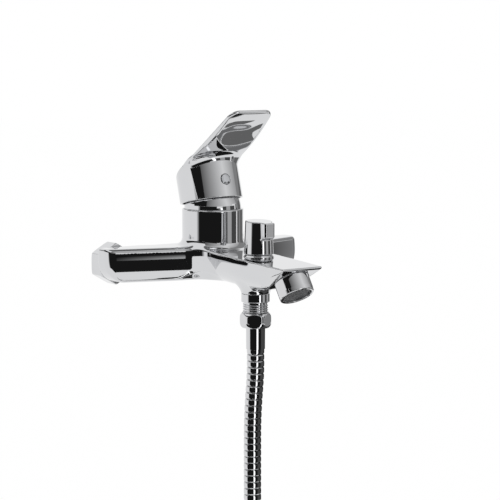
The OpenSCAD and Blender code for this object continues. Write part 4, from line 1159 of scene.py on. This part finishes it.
@dataclass
class Card:
    """A curved studio card; its angles are counted from the camera's side, to the right and upwards."""

    name: str
    left: float
    right: float
    low: float
    high: float
    glow: Glow
    radius: float = 0.65
    at_left: float = 1.0
    at_right: float = 1.0
    at_high: float = 1.0

    def spot(self, a: float, level: float) -> tuple[float, float, float]:
        """Place on the card at an angle and an elevation."""
        out, e = 1000 * self.radius, math.radians(level)
        return (out * math.sin(a) * math.cos(e), AXIS_Y - out * math.cos(a) * math.cos(e), out * math.sin(e))

    def build(self, turn: float) -> None:
        """Makes the card as an emitting sheet that the camera, shadows and diffuse light don't see.

        Args:
            turn: the camera's angle.
        """
        columns = max(2, int(abs(self.right - self.left) / 3))
        rows = max(2, int(abs(self.high - self.low) / 4))
        row = rows + 1
        across = [math.radians(self.left + (self.right - self.left) * i / columns - turn) for i in range(columns + 1)]
        levels = [self.low + (self.high - self.low) * j / rows for j in range(row)]
        first = np.array([i * row + j for i in range(columns) for j in range(rows)])
        quads = first[:, None] + np.array([0, row, row + 1, 1])
        card = Mesher.make("card_" + self.name, np.array([self.spot(a, level) for a in across for level in levels]), quads)
        corners = np.zeros(len(card.data.loops), np.int32)
        card.data.loops.foreach_get("vertex_index", corners)
        shares = np.stack([(corners // row) / columns, (corners % row) / rows], 1)
        card.data.uv_layers.new(name="card").data.foreach_set("uv", shares.ravel().astype(np.float32))
        kit = ShaderKit("card_" + self.name)
        kit.tree.nodes.remove(kit.shader)
        u, v = kit.spread("card")
        share = (self.at_left + (self.at_right - self.at_left) * u) * (1.0 + (self.at_high - 1.0) * v)
        shade = kit.mix(share, (0, 0, 0), (1, 1, 1))
        made = kit.node("ShaderNodeEmission", {"Color": shade, "Strength": self.glow.value})
        kit.link(made.outputs[0], kit.output.inputs[0])
        card.data.materials.append(kit.material)
        card.visible_camera = card.visible_shadow = card.visible_diffuse = False


@dataclass
class UprightCard(Card):
    """A small upright card near the hanging hose; its low and high are heights in millimetres."""

    radius: float = 0.055

    def spot(self, a: float, level: float) -> tuple[float, float, float]:
        """Place on the card at an angle and a height."""
        out = 1000 * self.radius
        return (out * math.sin(a), HOSE_Y - out * math.cos(a), level)


@dataclass
class Studio:
    """The pale floor, the white surround and the cards that the chrome reflects."""

    floor: float = -0.2622

    HOSE_CARDS = (
        ("front", -66, 13, Glow.BLACK),
        ("line", 13, 31, Glow.BRIGHT),
        ("side", 31, 66, Glow.BLACK),
        ("grey", 66, 120, Glow.DARK),
        ("back", 120, 180, Glow.BLACK),
    )

    def cards(self) -> list[Card]:
        """The cards round the mixer."""
        return [
            Card("front", -50, 18, -14.5, 14, Glow.BLACK),
            Card("front_edge", -60, -50, -14.5, 14, Glow.PALE, at_right=0.02),
            Card("arm_front", 17.5, 31, -14, 9, Glow.BLACK),
            Card("streak", 21, 33, 0.2, 5.5, Glow.PALE, 0.64, at_left=0.0, at_high=0.0),
            Card("key", 31, 41, -22, 9, Glow.BRIGHT),
            Card("key_side", 41, 57, -13, 12, Glow.DARK),
            Card("band", 57, 75, -13, 14, Glow.GREY),
            Card("right", 75, 98.5, -13, 12, Glow.DARK),
            Card("line", 98.5, 103, -13, 12, Glow.WHITE),
            Card("arm_right", 105.5, 114.5, -7, 9, Glow.SOFT, 0.26, at_left=0.03),
            Card("far_right", 103, 122, -13, 12, Glow.SOFT),
            Card("behind", 122, 149, -13, 12, Glow.DUSK),
            Card("left_high", -116, -24, 14.5, 34, Glow.BLACK),
            Card("top", -24, 62, 14, 58, Glow.PALE, at_left=0.16),
            Card("top_right", 62, 112, 14, 58, Glow.PALE, at_right=0.5),
            Card("back_high", 112, 155, 12, 62, Glow.SOFT),
            Card("zenith", -180, 180, 62, 89.5, Glow.DUSK),
            Card("under_right", 130.5, 146, -46.5, -35.5, Glow.DUSK, 0.26),
            Card("under_mid", 48, 118, -54, -20, Glow.BLACK, 0.26),
            *(UprightCard("hose_" + name, left, right, -215, -53, glow) for name, left, right, glow in self.HOSE_CARDS),
        ]

    def build(self, view: View) -> None:
        """Makes the floor, the surround and the cards."""
        world = bpy.data.worlds.new("surround")
        world.use_nodes = True
        back = world.node_tree.nodes["Background"]
        back.inputs["Color"].default_value = (1, 1, 1, 1)
        back.inputs["Strength"].default_value = 1.0
        bpy.context.scene.world = world
        bpy.context.scene.view_settings.view_transform = "Standard"
        span = 8000.0
        z = self.floor / MM
        points = np.array([(-span, -span, z), (span, -span, z), (span, span, z), (-span, span, z)])
        floor = Mesher.make("floor", points, np.array([[0, 1, 2, 3]]))
        kit = ShaderKit("pale_floor")
        kit.feed("Base Color", kit.mix(kit.noise(kit.place(), 2.0), (0.94, 0.94, 0.94), (0.96, 0.96, 0.96)))
        kit.feed("Roughness", 0.9)
        kit.feed("Specular IOR Level", 0.0)
        glow = kit.node("ShaderNodeEmission", {"Color": (1, 1, 1, 1), "Strength": 1.0})
        path = kit.node("ShaderNodeLightPath")
        seen = kit.value(path, "Is Camera Ray") + kit.value(path, "Is Glossy Ray") + kit.value(path, "Is Transmission Ray")
        mixed = kit.node("ShaderNodeMixShader", {0: seen.clipped() * 0.97, 1: kit.shader.outputs[0], 2: glow.outputs[0]})
        kit.link(mixed.outputs[0], kit.output.inputs[0])
        floor.data.materials.append(kit.material)
        for card in self.cards():
            card.build(view.turn)


def main() -> None:
    """Builds the view, the hose, the pieces and the studio."""
    logging.basicConfig(level=logging.INFO, format="%(name)s: %(message)s")
    view = View()
    view.build()
    wardrobe = Wardrobe()
    wardrobe.dress_nodes()
    Hose().build(wardrobe)
    for assembly in (BodyCasting(), Lever(), DomeRing(), UnionNut(-1), UnionNut(1), DiverterKnob(), Aerator(), ShowerOutlet()):
        assembly.build(wardrobe)
    Studio().build(view)


if __name__ == "__main__":
    main()
